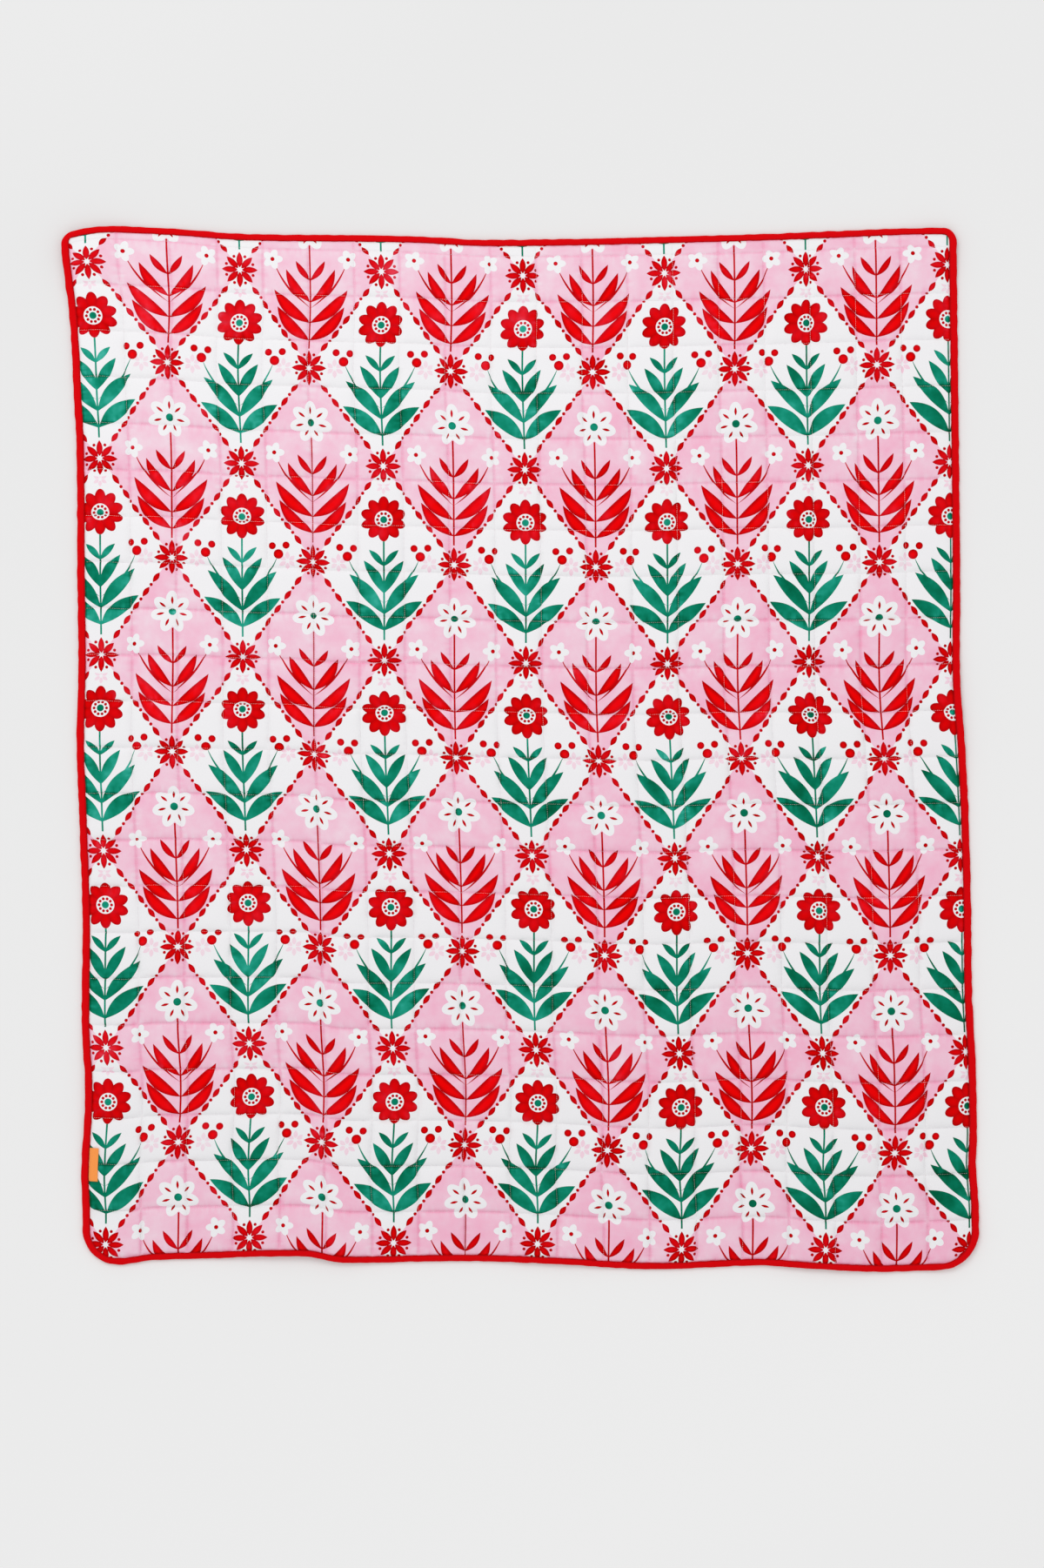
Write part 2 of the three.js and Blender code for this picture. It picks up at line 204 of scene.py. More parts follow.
@dataclass
class ClothPlan:
    """The cut cloth, its quilting lines, and how it lies. Radii are of the left and the right corner."""

    width: float = 1280.0
    length: float = 1496.0
    hem_radii: tuple[float, float] = (50.0, 54.0)
    top_radii: tuple[float, float] = (16.0, 20.0)
    columns: int = 19
    rows: int = 23
    first_column_seam: float = -561.0
    column_pitch: float = 66.1
    column_lean: float = 0.0065
    first_row_seam: float = -677.5
    row_pitch: float = 66.6
    hem_row_rise: float = 7.0
    top_row_rise: float = 10.0
    binding_at_sides: float = 11.2
    binding_at_ends: float = 9.9
    gap: float = 0.3
    outline_spacing: float = 10.0
    least_corner_steps: int = 6
    shift: Vector = field(default_factory=lambda: Vector((0, 0, 0)))

    def __post_init__(self) -> None:
        """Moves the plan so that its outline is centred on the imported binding's box."""
        low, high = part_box("edge_binding")
        edge = [self.place(spot.across, spot.along, 0) for spot in self.edge_places(self.outline_spacing)]
        x, y = ((min(values) + max(values)) / 2 for values in list(zip(*edge))[:2])
        self.shift = Vector(((low.x + high.x) / 2 - x, (low.y + high.y) / 2 - y, 0))

    def radius(self, across: float, along: float) -> float:
        """The radius of the rounded corner nearest to a point."""
        return (self.hem_radii if along < 0 else self.top_radii)[int(across >= 0)]

    def edge_places(self, spacing: float) -> list[EdgePlace]:
        """Places evenly spread round the cut edge, anticlockwise from the hem's left end.

        Args:
            spacing: About how far apart they are.

        Returns:
            The places, without repeating the first at the end.
        """
        places, travelled = [], 0.0
        half_width, half_length = self.width / 2, self.length / 2
        for quarter, (side, end) in enumerate(((1, -1), (1, 1), (-1, 1), (-1, -1))):
            turn = math.pi / 2 * (quarter - 1)
            out = (round(math.cos(turn)), round(math.sin(turn)))
            radius = self.radius(side, end)
            before = self.radius(side if out[0] else -side, end if out[1] else -end)
            straight = (self.width if out[1] else self.length) - radius - before
            corner = Vector((side * half_width, end * half_length))
            onward = Vector((-out[1], out[0]))
            steps = round(straight / spacing)
            for step in range(steps):
                point = corner - onward * (radius + straight * (1 - step / steps))
                places.append(EdgePlace(point.x, point.y, *out, travelled + straight * step / steps))
            travelled += straight
            centre = Vector((side * (half_width - radius), end * (half_length - radius)))
            arc = radius * math.pi / 2
            steps = max(round(arc / spacing), self.least_corner_steps)
            for step in range(steps):
                angle = turn + math.pi / 2 * step / steps
                out = (math.cos(angle), math.sin(angle))
                places.append(EdgePlace(centre.x + radius * out[0], centre.y + radius * out[1], *out,
                                        travelled + arc * step / steps))
            travelled += arc
        return places

    def column_seam(self, column: int, along: float) -> float:
        """Where a lengthwise seam, numbered from 1 at the left, lies across the cloth."""
        return self.first_column_seam + self.column_pitch * (column - 1) - self.column_lean * along

    def row_seam(self, row: int, across: float) -> float:
        """Where a crosswise seam lies along the cloth.

        Args:
            row: The seam's number, from 1 at the hem.
            across: The place across the cloth.

        Returns:
            The place along the cloth.
        """
        level = self.first_row_seam + self.row_pitch * (row - 1)
        rise = self.hem_row_rise + (self.top_row_rise - self.hem_row_rise) * (level / self.length + 0.5)
        return level + rise * ((self.width / 2 - across) / self.width) ** 2

    def binding_face(self, out_across: float) -> float:
        """How wide the binding shows where the edge's outward direction has that part across the cloth."""
        return self.binding_at_ends + (self.binding_at_sides - self.binding_at_ends) * out_across**2

    def free(self, across: float, along: float) -> float:
        """How far a point is from where the panel comes out from under the binding.

        Args:
            across: The point's place across the cloth.
            along: Its place along the cloth.

        Returns:
            Millimetres inward, below zero under the binding.
        """
        radius = self.radius(across, along)
        past_across = abs(across) - (self.width / 2 - radius)
        past_along = abs(along) - (self.length / 2 - radius)
        past, out_across = max(past_across, past_along), float(past_across > past_along)
        if past_across > 0 and past_along > 0:
            past = math.hypot(past_across, past_along)
            out_across = past_across / past
        return radius - past - (self.binding_face(out_across) + self.gap)

    def lift(self, across: float, along: float) -> float:
        """How far the cloth stands off the surface at a point."""
        return sum(spot.rise * spot.share(across, along) for spot in LIFTS)

    def fold_rise(self, across: float, along: float) -> float:
        """What the soft folds add to the height of the face at a point."""
        return sum(fold.rise(across, along) for fold in FOLDS)

    def place(self, across: float, along: float, height: float) -> Vector:
        """Moves a point of the flat cut cloth to where the cloth lies.

        Args:
            across: The point's place across the cloth.
            along: Its place along the cloth.
            height: Its height above the cloth's underside.

        Returns:
            The point in metres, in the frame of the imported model.
        """
        right_share = across / self.width + 0.5
        top_share = along / self.length + 0.5
        x = across - LEFT_EDGE.out(along) * (1 - right_share) + RIGHT_EDGE.out(along) * right_share
        y = along - HEM_EDGE.out(across) * (1 - top_share) + TOP_EDGE.out(across) * top_share
        for pull in PULLS:
            share = pull.share(across, along)
            x += pull.right * share
            y += pull.up * share
        return Vector((x, y, height + self.lift(across, along))) * MM + self.shift


# ---- Pieces ----


class GridPoint(NamedTuple):
    """Where one corner of a grid goes, in metres, and what the piece's maps say there."""

    position: Vector
    cloth: tuple[float, float]
    squares: tuple[float, float] = (0.5, 0.5)


def lay_grid(bm: BMesh, columns: int, rows: int,
             locate: Callable[[int, int], GridPoint]) -> list[BMFace]:
    """Adds a grid to a mesh, moves each corner to its place and writes the maps.

    Args:
        bm: The mesh that gets the grid.
        columns: How many faces the grid has one way.
        rows: How many faces it has the other way.
        locate: Says where the corner with two given numbers goes.

    Returns:
        The new faces.
    """
    corners = bmesh.ops.create_grid(bm, x_segments=columns, y_segments=rows, size=1)["verts"]
    points = {}
    for corner in corners:
        column = round((corner.co.x + 1) / 2 * columns)
        row = round((corner.co.y + 1) / 2 * rows)
        points[corner] = locate(column, row)
    layers = bm.loops.layers.uv
    cloth, squares = (layers.get(name) or layers.new(name) for name in (CLOTH_MAP, SQUARES_MAP))
    faces = list({face for corner in corners for face in corner.link_faces})
    for face in faces:
        face.smooth = True
        for loop in face.loops:
            loop[cloth].uv = points[loop.vert].cloth
            loop[squares].uv = points[loop.vert].squares
    for corner, point in points.items():
        corner.co = point.position
    return faces


def add_object(name: str, data: ID) -> Object:
    """Adds an object to the scene.

    Args:
        name: Its name.
        data: Its mesh, camera or lamp.

    Returns:
        The new object, at the origin.
    """
    added = bpy.data.objects.new(name, data)
    bpy.context.scene.collection.objects.link(added)
    return added


def add_mesh(bm: BMesh, name: str, *materials: Material) -> Object:
    """Turns a mesh under construction into an object.

    Args:
        bm: The finished mesh. It is freed.
        name: The object's name.
        materials: Its materials, in the order of the faces' material numbers.

    Returns:
        The new object.
    """
    mesh = bpy.data.meshes.new(name)
    bm.to_mesh(mesh)
    bm.free()
    for material in materials:
        mesh.materials.append(material)
    return add_object(name, mesh)


def close_tube(bm: BMesh) -> None:
    """Joins a grid's corners where they meet, and closes each end that is left open.

    Args:
        bm: The mesh that holds the grid.
    """
    bmesh.ops.remove_doubles(bm, verts=bm.verts, dist=MERGED * MM)
    ends = [edge for edge in bm.edges if edge.is_boundary]
    bmesh.ops.triangulate(bm, faces=bmesh.ops.holes_fill(bm, edges=ends, sides=0)["faces"])
    bmesh.ops.recalc_face_normals(bm, faces=bm.faces)


@dataclass(frozen=True)
class Unevenness:
    """Smooth random unevenness, with its size, its length across and along the cloth, and its seed."""

    size: float
    across: float
    along: float
    seed: float

    def at(self, across: float, along: float) -> float:
        """The unevenness at a point."""
        return self.size * noise.noise(Vector((across / self.across, along / self.along, self.seed)))


class PanelPoint(NamedTuple):
    """A point of the flat cut cloth, with its place also counted in quilted squares."""

    across: float
    along: float
    square_across: float
    square_along: float


@dataclass
class QuiltedPanel:
    """The printed cloth with its fill: a crown over every quilted square, and a flatter underside."""

    plan: ClothPlan
    face_steps: int = 13
    under_steps: int = 6
    crowding: float = 0.8
    seam_height: float = 3.4
    crown: float = 4.6
    crown_unevenness: float = 0.12
    crown_turns: tuple[float, float] = (1.7, 2.3)
    crown_flatness: float = 4.5
    crown_shoulder: float = 0.5
    valley: float = 0.8
    tongue_top: float = 3.7
    tongue_bottom: float = 1.5
    tongue_tip: float = 1.8
    lip_margin: float = 0.01
    lip_reach: float = 5.0
    under_groove: float = 0.9
    under_groove_reach: float = 5.0
    under_edge: float = 2.5
    take_up: float = 2.2
    take_up_reach: float = 1.2
    wrinkles: Unevenness = Unevenness(0.45, 34, 21, 4.2)
    pulled: Unevenness = Unevenness(0.6, 70, 13, 9.7)
    gathered: Unevenness = Unevenness(0.36, 13, 70, 2.9)
    gather_reach: float = 14.0
    taut_reach: float = 4.0
    sinking: float = 0.24
    slackening: float = 0.5

    def line(self, index: int, steps: int, count: int, seam: Callable[[int], float],
             half: float, lip: float) -> tuple[float, float]:
        """Where one line of the grid lies in its own direction: the lines crowd towards the seams.

        Args:
            index: The line's number, from 0 at the tongue's tip.
            steps: How many divisions each quilted square has.
            count: How many quilted squares there are in that direction.
            seam: Gives the place of a seam by its number.
            half: Half of the cut cloth's size in that direction.
            lip: How far inside the cut edge the binding ends.

        Returns:
            The line's place, and its place counted in quilted squares.
        """
        if index in (0, count * steps + 2):
            return (half - self.tongue_tip) * (1 if index else -1), float(count if index else 0)
        square, step = divmod(index - 1, steps)
        if square == count:
            square, step = count - 1, steps
        start = seam(square) if square else lip - half
        end = seam(square + 1) if square < count - 1 else half - lip
        share = step / steps
        share -= self.crowding * math.sin(2 * math.pi * share) / (2 * math.pi)
        return start + (end - start) * share, square + share

    def flat_point(self, column: int, row: int, steps: int) -> PanelPoint:
        """Where a corner of the grid lies on the flat cut cloth.

        Args:
            column: The corner's number across the cloth.
            row: Its number along the cloth.
            steps: How many divisions each quilted square has.

        Returns:
            The point.
        """
        plan = self.plan
        across, along = 0.0, 0.0
        for _ in range(3):  # Leaning seams: each place depends a little on the other.
            across, square_across = self.line(
                column, steps, plan.columns, lambda seam: plan.column_seam(seam, along),
                plan.width / 2, plan.binding_at_sides + plan.gap)
            along, square_along = self.line(
                row, steps, plan.rows, lambda seam: plan.row_seam(seam, across),
                plan.length / 2, plan.binding_at_ends + plan.gap)
        return PanelPoint(*self.round_corner(across, along), square_across, square_along)

    def round_corner(self, across: float, along: float) -> tuple[float, float]:
        """Draws a point of a square corner in, so that the corner becomes round.

        Args:
            across: The point's place across the cloth.
            along: Its place along the cloth.

        Returns:
            Its new places across and along.
        """
        radius = self.plan.radius(across, along)
        centre_across = self.plan.width / 2 - radius
        centre_along = self.plan.length / 2 - radius
        reach = radius - self.tongue_tip
        u, v = (abs(across) - centre_across) / reach, (abs(along) - centre_along) / reach
        if u <= 0 or v <= 0:
            return across, along
        new_across = centre_across + reach * u * math.sqrt(1 - v * v / 2)
        new_along = centre_along + reach * v * math.sqrt(1 - u * u / 2)
        return math.copysign(new_across, across), math.copysign(new_along, along)

    def profile(self, before: float, after: float) -> float:
        """The height of a crown between two seams, as a share of its top.

        Args:
            before: The distance from the seam on one side.
            after: The distance from the seam on the other side.

        Returns:
            Zero at either seam, up to one midway.
        """
        before, after = max(before - self.valley, 0), max(after - self.valley, 0)
        if before + after <= 0:
            return 0.0
        aside = abs(before - after) / (before + after)
        return (1 - aside**self.crown_flatness) ** self.crown_shoulder

    def square(self, at: PanelPoint) -> tuple[int, int]:
        """The column and the row of the quilted square that a point is in."""
        plan = self.plan
        return min(int(at.square_across), plan.columns - 1), min(int(at.square_along), plan.rows - 1)

    def sides(self, at: PanelPoint) -> tuple[float, float, float, float]:
        """How far a point is from the seams or the binding on the four sides of its square.

        Args:
            at: The point.

        Returns:
            The distances to the left, to the right, to the hem side and to the top side.
        """
        plan = self.plan
        column, row = self.square(at)
        free = max(plan.free(at.across, at.along), 0)
        return (at.across - plan.column_seam(column, at.along) if column else free,
                plan.column_seam(column + 1, at.along) - at.across if column < plan.columns - 1 else free,
                at.along - plan.row_seam(row, at.across) if row else free,
                plan.row_seam(row + 1, at.across) - at.along if row < plan.rows - 1 else free)

    def seat(self, free: float) -> float:
        """The height of the seams, which rise to meet the binding where little free cloth is left."""
        lip = math.exp(-max(free, 0) / self.lip_reach)
        return self.seam_height + (self.tongue_top - self.seam_height) * lip

    def face_height(self, at: PanelPoint) -> float:
        """The height of the printed face above the cloth's underside.

        Args:
            at: The point.

        Returns:
            The height.
        """
        plan = self.plan
        free = plan.free(at.across, at.along)
        if free < self.lip_margin:
            return self.tongue_top
        left, right, hem, top = self.sides(at)
        turns = sum(turn * count for turn, count in zip(self.crown_turns, self.square(at)))
        uneven = 1 + self.crown_unevenness * math.sin(turns)
        full = min(1, (hem + top) / plan.row_pitch)
        shape = self.profile(left, right) * self.profile(hem, top)
        creases = self.wrinkles.at(at.across, at.along)
        for gathers, near in ((self.pulled, min(left, right)), (self.gathered, min(hem, top))):
            creases += math.exp(-near / self.gather_reach) * gathers.at(at.across, at.along)
        # The fill has slipped a little towards the hem: the crowns are fuller there, and the gathers deeper.
        lower = -2 * at.along / plan.length
        creases *= min(min(left, right, hem, top) / self.taut_reach, 1) * (1 + self.slackening * lower)
        crown = self.crown * (1 + self.sinking * lower)
        return self.seat(free) + crown * uneven * full * shape + creases + plan.fold_rise(at.across, at.along)

    def under_height(self, at: PanelPoint) -> float:
        """The height of the underside, which has a low groove under each seam and rises to the tongue.

        Args:
            at: The point.

        Returns:
            The height.
        """
        free = self.plan.free(at.across, at.along)
        if free <= self.under_edge:
            return self.tongue_bottom * min(1 - free / self.under_edge, 1)
        return self.under_groove * math.exp(-((min(self.sides(at)) / self.under_groove_reach) ** 2))

    def taken_up(self, square: float, pitch: float) -> float:
        """How much cloth the seams before a place have taken up, most of it right at each seam.

        Args:
            square: The place, counted in squares.
            pitch: The seams' pitch.

        Returns:
            Millimetres of cloth.
        """
        whole = math.floor(square)
        after = (square - whole) * pitch
        before = pitch - after
        near = 1 - math.exp(-after / self.take_up_reach) + math.exp(-before / self.take_up_reach)
        return self.take_up * (whole + near / 2)

    def corner(self, steps: int, height: Callable[[PanelPoint], float], column: int, row: int) -> GridPoint:
        """A corner of one side's grid. Its map gives its place on the printed cloth before quilting.

        Args:
            steps: How many divisions each quilted square has.
            height: Gives the height of that side at a point.
            column: The corner's number across the cloth.
            row: Its number along the cloth.

        Returns:
            The corner.
        """
        at = self.flat_point(column, row, steps)
        cloth = (at.across + self.taken_up(at.square_across, self.plan.column_pitch),
                 at.along + self.taken_up(at.square_along, self.plan.row_pitch))
        return GridPoint(self.plan.place(at.across, at.along, height(at)), cloth, at[2:])

    def build(self, printed: Material, backing: Material) -> Object:
        """Builds the panel.

        Args:
            printed: The material of its face.
            backing: The material of its underside.

        Returns:
            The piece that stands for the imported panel.
        """
        bm = bmesh.new()
        _, under = (
            lay_grid(bm, self.plan.columns * steps + 2, self.plan.rows * steps + 2,
                     partial(self.corner, steps, height))
            for steps, height in ((self.face_steps, self.face_height), (self.under_steps, self.under_height)))
        bmesh.ops.reverse_faces(bm, faces=under)
        for part in under:
            part.material_index = 1
        bmesh.ops.bridge_loops(bm, edges=[edge for edge in bm.edges if edge.is_boundary])
        bmesh.ops.recalc_face_normals(bm, faces=bm.faces)
        piece = add_mesh(bm, "printed_throw", printed, backing)
        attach(piece, "root")
        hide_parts("quilted_panel")
        return piece


class Seams(Enum):
    """Which way a set of quilting seams runs."""

    LENGTHWISE = "lengthwise"
    CROSSWISE = "crosswise"


def add_stitches(bm: BMesh, ends: list[tuple[Vector, Vector]], width: float,
                 height: float) -> None:
    """Adds one short rounded stitch between each pair of points, all in metres.

    Args:
        bm: The mesh that gets the stitches.
        ends: Where each stitch starts and ends.
        width: The thread's width.
        height: The thread's height.
    """
    shape = bmesh.new()
    bmesh.ops.create_uvsphere(shape, u_segments=STITCH_SIDES, v_segments=STITCH_RINGS, radius=0.5)
    bmesh.ops.rotate(shape, verts=shape.verts, matrix=Matrix.Rotation(math.pi / 2, 3, "Y"))
    for face in shape.faces:
        face.smooth = True
    pattern = bpy.data.meshes.new("stitch_pattern")
    shape.to_mesh(pattern)
    shape.free()
    for start, end in ends:
        onward = end - start
        aside = Vector((-onward.y, onward.x, 0)).normalized()
        upward = onward.cross(aside).normalized()
        turn = Matrix((onward, aside * width, upward * height)).transposed().to_4x4()
        matrix = Matrix.Translation((start + end) / 2) @ turn
        pattern.transform(matrix)
        bm.from_mesh(pattern)
        pattern.transform(matrix.inverted())
    bpy.data.meshes.remove(pattern)


@dataclass
class QuiltingThread:
    """The machine stitches of the seams that run one way.

    Its starts say how many pitches in from the binding the first stitch is, on an even and on an odd seam.
    """

    panel: QuiltedPanel
    seams: Seams
    pitch: float = 3.1
    stitch: float = 2.5
    starts: tuple[float, float] = (0.3, 0.67)
    thickness: float = 0.42
    flatness: float = 0.6
    proud: float = 0.12
    wander: float = 0.25
    wander_length: float = 23.0
    wander_seeds: tuple[float, float] = (5.3, 1.1)

    def seam_point(self, seam: int, travelled: float) -> Vector:
        """A point on a seam, on the cloth's face.

        Args:
            seam: The seam's number, from 1.
            travelled: The place along the seam, in millimetres.

        Returns:
            The point in metres.
        """
        plan = self.panel.plan
        each, seed = self.wander_seeds
        aside = self.wander * noise.noise(Vector((travelled / self.wander_length, seam * each, seed)))
        if self.seams is Seams.LENGTHWISE:
            across, along = plan.column_seam(seam, travelled) + aside, travelled
        else:
            across, along = travelled, plan.row_seam(seam, travelled) + aside
        height = self.panel.seat(plan.free(across, along)) + self.proud + plan.fold_rise(across, along)
        return plan.place(across, along, height)

    def build(self, thread: Material) -> Object:
        """Builds every stitch of these seams as one piece.

        Args:
            thread: The thread's material.

        Returns:
            The piece.
        """
        plan = self.panel.plan
        if self.seams is Seams.LENGTHWISE:
            count, half, lip = plan.columns - 1, plan.length / 2, plan.binding_at_ends + plan.gap
        else:
            count, half, lip = plan.rows - 1, plan.width / 2, plan.binding_at_sides + plan.gap
        ends = []
        for seam in range(1, count + 1):
            place = lip - half + self.pitch * self.starts[seam % 2]
            while place + self.stitch < half - lip:
                ends.append((self.seam_point(seam, place), self.seam_point(seam, place + self.stitch)))
                place += self.pitch
        bm = bmesh.new()
        add_stitches(bm, ends, self.thickness * MM, self.thickness * self.flatness * MM)
        piece = add_mesh(bm, f"{self.seams.value}_stitches", thread)
        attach(piece, "root")
        return piece


@dataclass(frozen=True)
class Waver:
    """Smooth unevenness round the closed edge, with its size, its length and its seed."""

    size: float
    length: float
    seed: float = 0.0


@dataclass
class EdgeBinding:
    """The folded strip round the cut edge, with its line of edge stitches."""

    plan: ClothPlan
    spacing: float = 2.6
    top: float = 5.2
    cloth: float = 1.2
    tongue_space: float = 1.5
    roundness: float = 3.2
    nose_steps: int = 6
    face_shares: tuple[float, ...] = (0.97, 0.8, 0.6, 0.4)
    dome: float = 0.35
    slack: float = 0.15
    waver: Waver = Waver(0.45, 8)
    sway: Waver = Waver(0.3, 15, 71)
    bulge: Waver = Waver(0.9, 14, 53)
    ripple: Waver = Waver(0.3, 6, 31)
    ripple_turn: float = 7.0
    course: float = 1.5
    stitch_inset: float = 1.9
    stitch_groove: float = 0.3
    groove_reach: float = 0.8
    stitch_pitch: float = 3.1
    stitch_length: float = 2.5
    thread: float = 0.6
    spots: list[EdgePlace] = field(init=False)
    perimeter: float = field(init=False)

    def __post_init__(self) -> None:
        """Spreads the strip's sections round the cut edge."""
        self.spots = self.plan.edge_places(self.spacing)
        self.perimeter = self.spots[-1].travelled + self.spacing

    def section(self, width: float, bulge: float = 0.0) -> list[tuple[float, float]]:
        """The strip's folded section: a U that opens inward.

        Args:
            width: How wide the strip shows on the face.
            bulge: How far its nose stands outside the cut edge.

        Returns:
            Distances inside the cut edge and heights, from the face's lip round the nose and back inside.
        """
        nose = []
        middle = self.top / 2
        for step in range(self.nose_steps + 1):
            angle = math.pi * (0.5 - step / self.nose_steps)
            inset = self.roundness - (self.roundness + bulge) * math.cos(angle)
            nose.append((inset, middle + middle * math.sin(angle)))
        face = []
        for share in self.face_shares:
            inset = width * share
            dome = self.dome * (1 - (2 * share - 1) ** 2)
            beside = (width - inset - self.stitch_inset) / self.groove_reach
            face.append((inset, self.top + dome - self.stitch_groove * math.exp(-(beside**2))))
        near, cloth, under = width * self.face_shares[0], self.cloth, self.top - self.cloth
        return [
            (width, self.top - cloth / 2), *face, *nose, (width / 2, 0.0), (near, 0.0), (width, cloth / 2),
            (near, cloth), (self.tongue_space, cloth), (self.tongue_space, under), (near, under),
        ]

    def uneven(self, waver: Waver, spot: EdgePlace, turn: float = 0.0) -> float:
        """An unevenness at a place on the edge, which joins up with itself round the edge.

        Args:
            waver: The unevenness.
            spot: The place.
            turn: A step of the seed, for a point elsewhere on the section.

        Returns:
            Millimetres.
        """
        angle = 2 * math.pi * spot.travelled / self.perimeter
        ring = Vector((math.cos(angle), math.sin(angle), 0)) * self.perimeter / (2 * math.pi)
        return waver.size * noise.noise(ring / waver.length + Vector((0, 0, waver.seed + turn)))

    def width(self, spot: EdgePlace) -> float:
        """How wide the strip shows on the face at a place."""
        return self.plan.binding_face(spot.out_across) - self.slack + self.uneven(self.waver, spot)

    def inward(self, spot: EdgePlace, inset: float, height: float) -> Vector:
        """A point inside a place on the cut edge, lifted off the surface as much as that place is.

        Args:
            spot: The place on the cut edge.
            inset: The distance.
            height: The point's height above the cloth's underside.

        Returns:
            The point in metres.
        """
        across = spot.across - spot.out_across * inset
        along = spot.along - spot.out_along * inset
        lifted = self.plan.lift(spot.across, spot.along) - self.plan.lift(across, along)
        return self.plan.place(across, along, height + lifted)

    def strip_corner(self, column: int, row: int) -> GridPoint:
        """The grid's corner on the strip, with its place along and round the strip.

        Args:
            column: The number of the strip's section.
            row: Which point of the section it is.

        Returns:
            The corner.
        """
        spot = self.spots[column % len(self.spots)]
        travelled = spot.travelled if column < len(self.spots) else self.perimeter
        section = self.section(self.width(spot), self.uneven(self.bulge, spot))
        inset, height = section[row % len(section)]
        if inset > self.tongue_space and height > self.top / 2:
            height += self.uneven(self.ripple, spot, inset / self.ripple_turn)
        point = self.inward(spot, inset + self.uneven(self.sway, spot), height)
        return GridPoint(point, (travelled, row * self.course))

    def stitch_point(self, spot: EdgePlace) -> Vector:
        """Where the line of edge stitches passes a place on the edge, in metres."""
        return self.inward(spot, self.plan.binding_face(spot.out_across) - self.stitch_inset, self.top)

    def build(self, strip: Material, thread: Material) -> list[Object]:
        """Builds the strip and its edge stitches.

        Args:
            strip: The strip's material.
            thread: The material of the stitches.

        Returns:
            The strip's piece and the stitches' piece.
        """
        bm = bmesh.new()
        lay_grid(bm, len(self.spots), len(self.section(self.plan.binding_at_sides)), self.strip_corner)
        close_tube(bm)
        piece = add_mesh(bm, "folded_binding", strip)
        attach(piece, "root")
        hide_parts("edge_binding")

        bm = bmesh.new()
        points = [self.stitch_point(spot) for spot in self.plan.edge_places(self.stitch_pitch)]
        share = self.stitch_length / self.stitch_pitch
        ends = [(start, start.lerp(end, share)) for start, end in zip(points, points[1:] + points[:1])]
        add_stitches(bm, ends, self.thread * MM, self.thread * MM / 2)
        seam = add_mesh(bm, "binding_stitches", thread)
        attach(seam, "root")
        return [piece, seam]


@dataclass
class SideLabel:
    """The plain ribbon label, folded once, that the binding catches near the hem."""

    panel: QuiltedPanel
    binding: EdgeBinding
    start: float = -628.5
    end: float = -580.5
    steps: int = 24
    nose_steps: int = 6
    clearance: float = 0.4
    reach: float = 13.0
    courses: int = 8
    crowding: float = 1.5
    course: float = 1.2
    ribbon: float = 0.5
    between: float = 0.3
    above: float = 0.4
    curl: float = 0.35

    def section(self) -> list[tuple[float, float]]:
        """The ribbon's section: two layers joined by a round fold away from the binding.

        Returns:
            Distances from the binding and heights above the face under the ribbon.
        """
        top = 2 * self.ribbon + self.between
        nose = []
        for step in range(self.nose_steps + 1):
            angle = math.pi * (step / self.nose_steps - 0.5)
            nose.append((self.reach - top / 2 * (1 - math.cos(angle)), top / 2 + top / 2 * math.sin(angle)))
        across = [(self.reach - top) * (course / self.courses) ** self.crowding
                  for course in range(self.courses)]
        fold, inner = self.reach - self.ribbon, self.ribbon + self.between
        return [
            *((inset, 0.0) for inset in across), *nose, *((inset, top) for inset in reversed(across)),
            *((inset, inner) for inset in across), (fold, inner), (fold, self.ribbon),
            *((inset, self.ribbon) for inset in reversed(across)),
        ]

    def place_along(self, column: int) -> float:
        """Where one of the ribbon's lines lies along the cloth."""
        return self.start + (self.end - self.start) * column / self.steps

    def ridge(self, across: float) -> float:
        """The highest point of the printed face under the ribbon, which bridges the seam below it.

        Args:
            across: The place across the cloth.

        Returns:
            The height.
        """
        plan = self.panel.plan
        heights = []
        for along in map(self.place_along, range(self.steps + 1)):
            row = sum(plan.row_seam(seam, across) < along for seam in range(1, plan.rows))
            heights.append(self.panel.face_height(PanelPoint(across, along, 0, row)))
        return max(heights)

    def near_end(self, along: float) -> float:
        """How far the ribbon's caught end shifts to stay beside the strip's wavering edge.

        Args:
            along: The place along the cloth.

        Returns:
            Millimetres to the right.
        """
        strip = self.binding
        left = [spot for spot in strip.spots if spot.out_across == -1]
        nearest = min(left, key=lambda spot: abs(spot.along - along))
        return strip.width(nearest) + strip.uneven(strip.sway, nearest) - strip.plan.binding_at_sides

    def build(self, ribbon: Material) -> Object:
        """Builds the label.

        Args:
            ribbon: The ribbon's material.

        Returns:
            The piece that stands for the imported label.
        """
        plan = self.panel.plan
        near = plan.binding_at_sides + self.clearance - plan.width / 2
        section = [(near + inset, inset / self.reach, self.ridge(near + inset) + self.above + height)
                   for inset, height in self.section()]

        def ribbon_corner(column: int, row: int) -> GridPoint:
            """The grid's corner on the ribbon, with its place along and round the ribbon.

            Args:
                column: The number of the ribbon's line.
                row: Which point of the section it is.

            Returns:
                The corner.
            """
            across, share, level = section[row % len(section)]
            along = self.place_along(column)
            wave = self.curl * math.sin(math.pi * column / self.steps) * share**2
            across += self.near_end(along) * (1 - share)
            return GridPoint(plan.place(across, along, level + wave), (along, row * self.course))

        bm = bmesh.new()
        lay_grid(bm, self.steps, len(section), ribbon_corner)
        close_tube(bm)
        piece = add_mesh(bm, "folded_label", ribbon)
        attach(piece, "root")
        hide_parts("side_label")
        return piece


# ---- Finishes ----


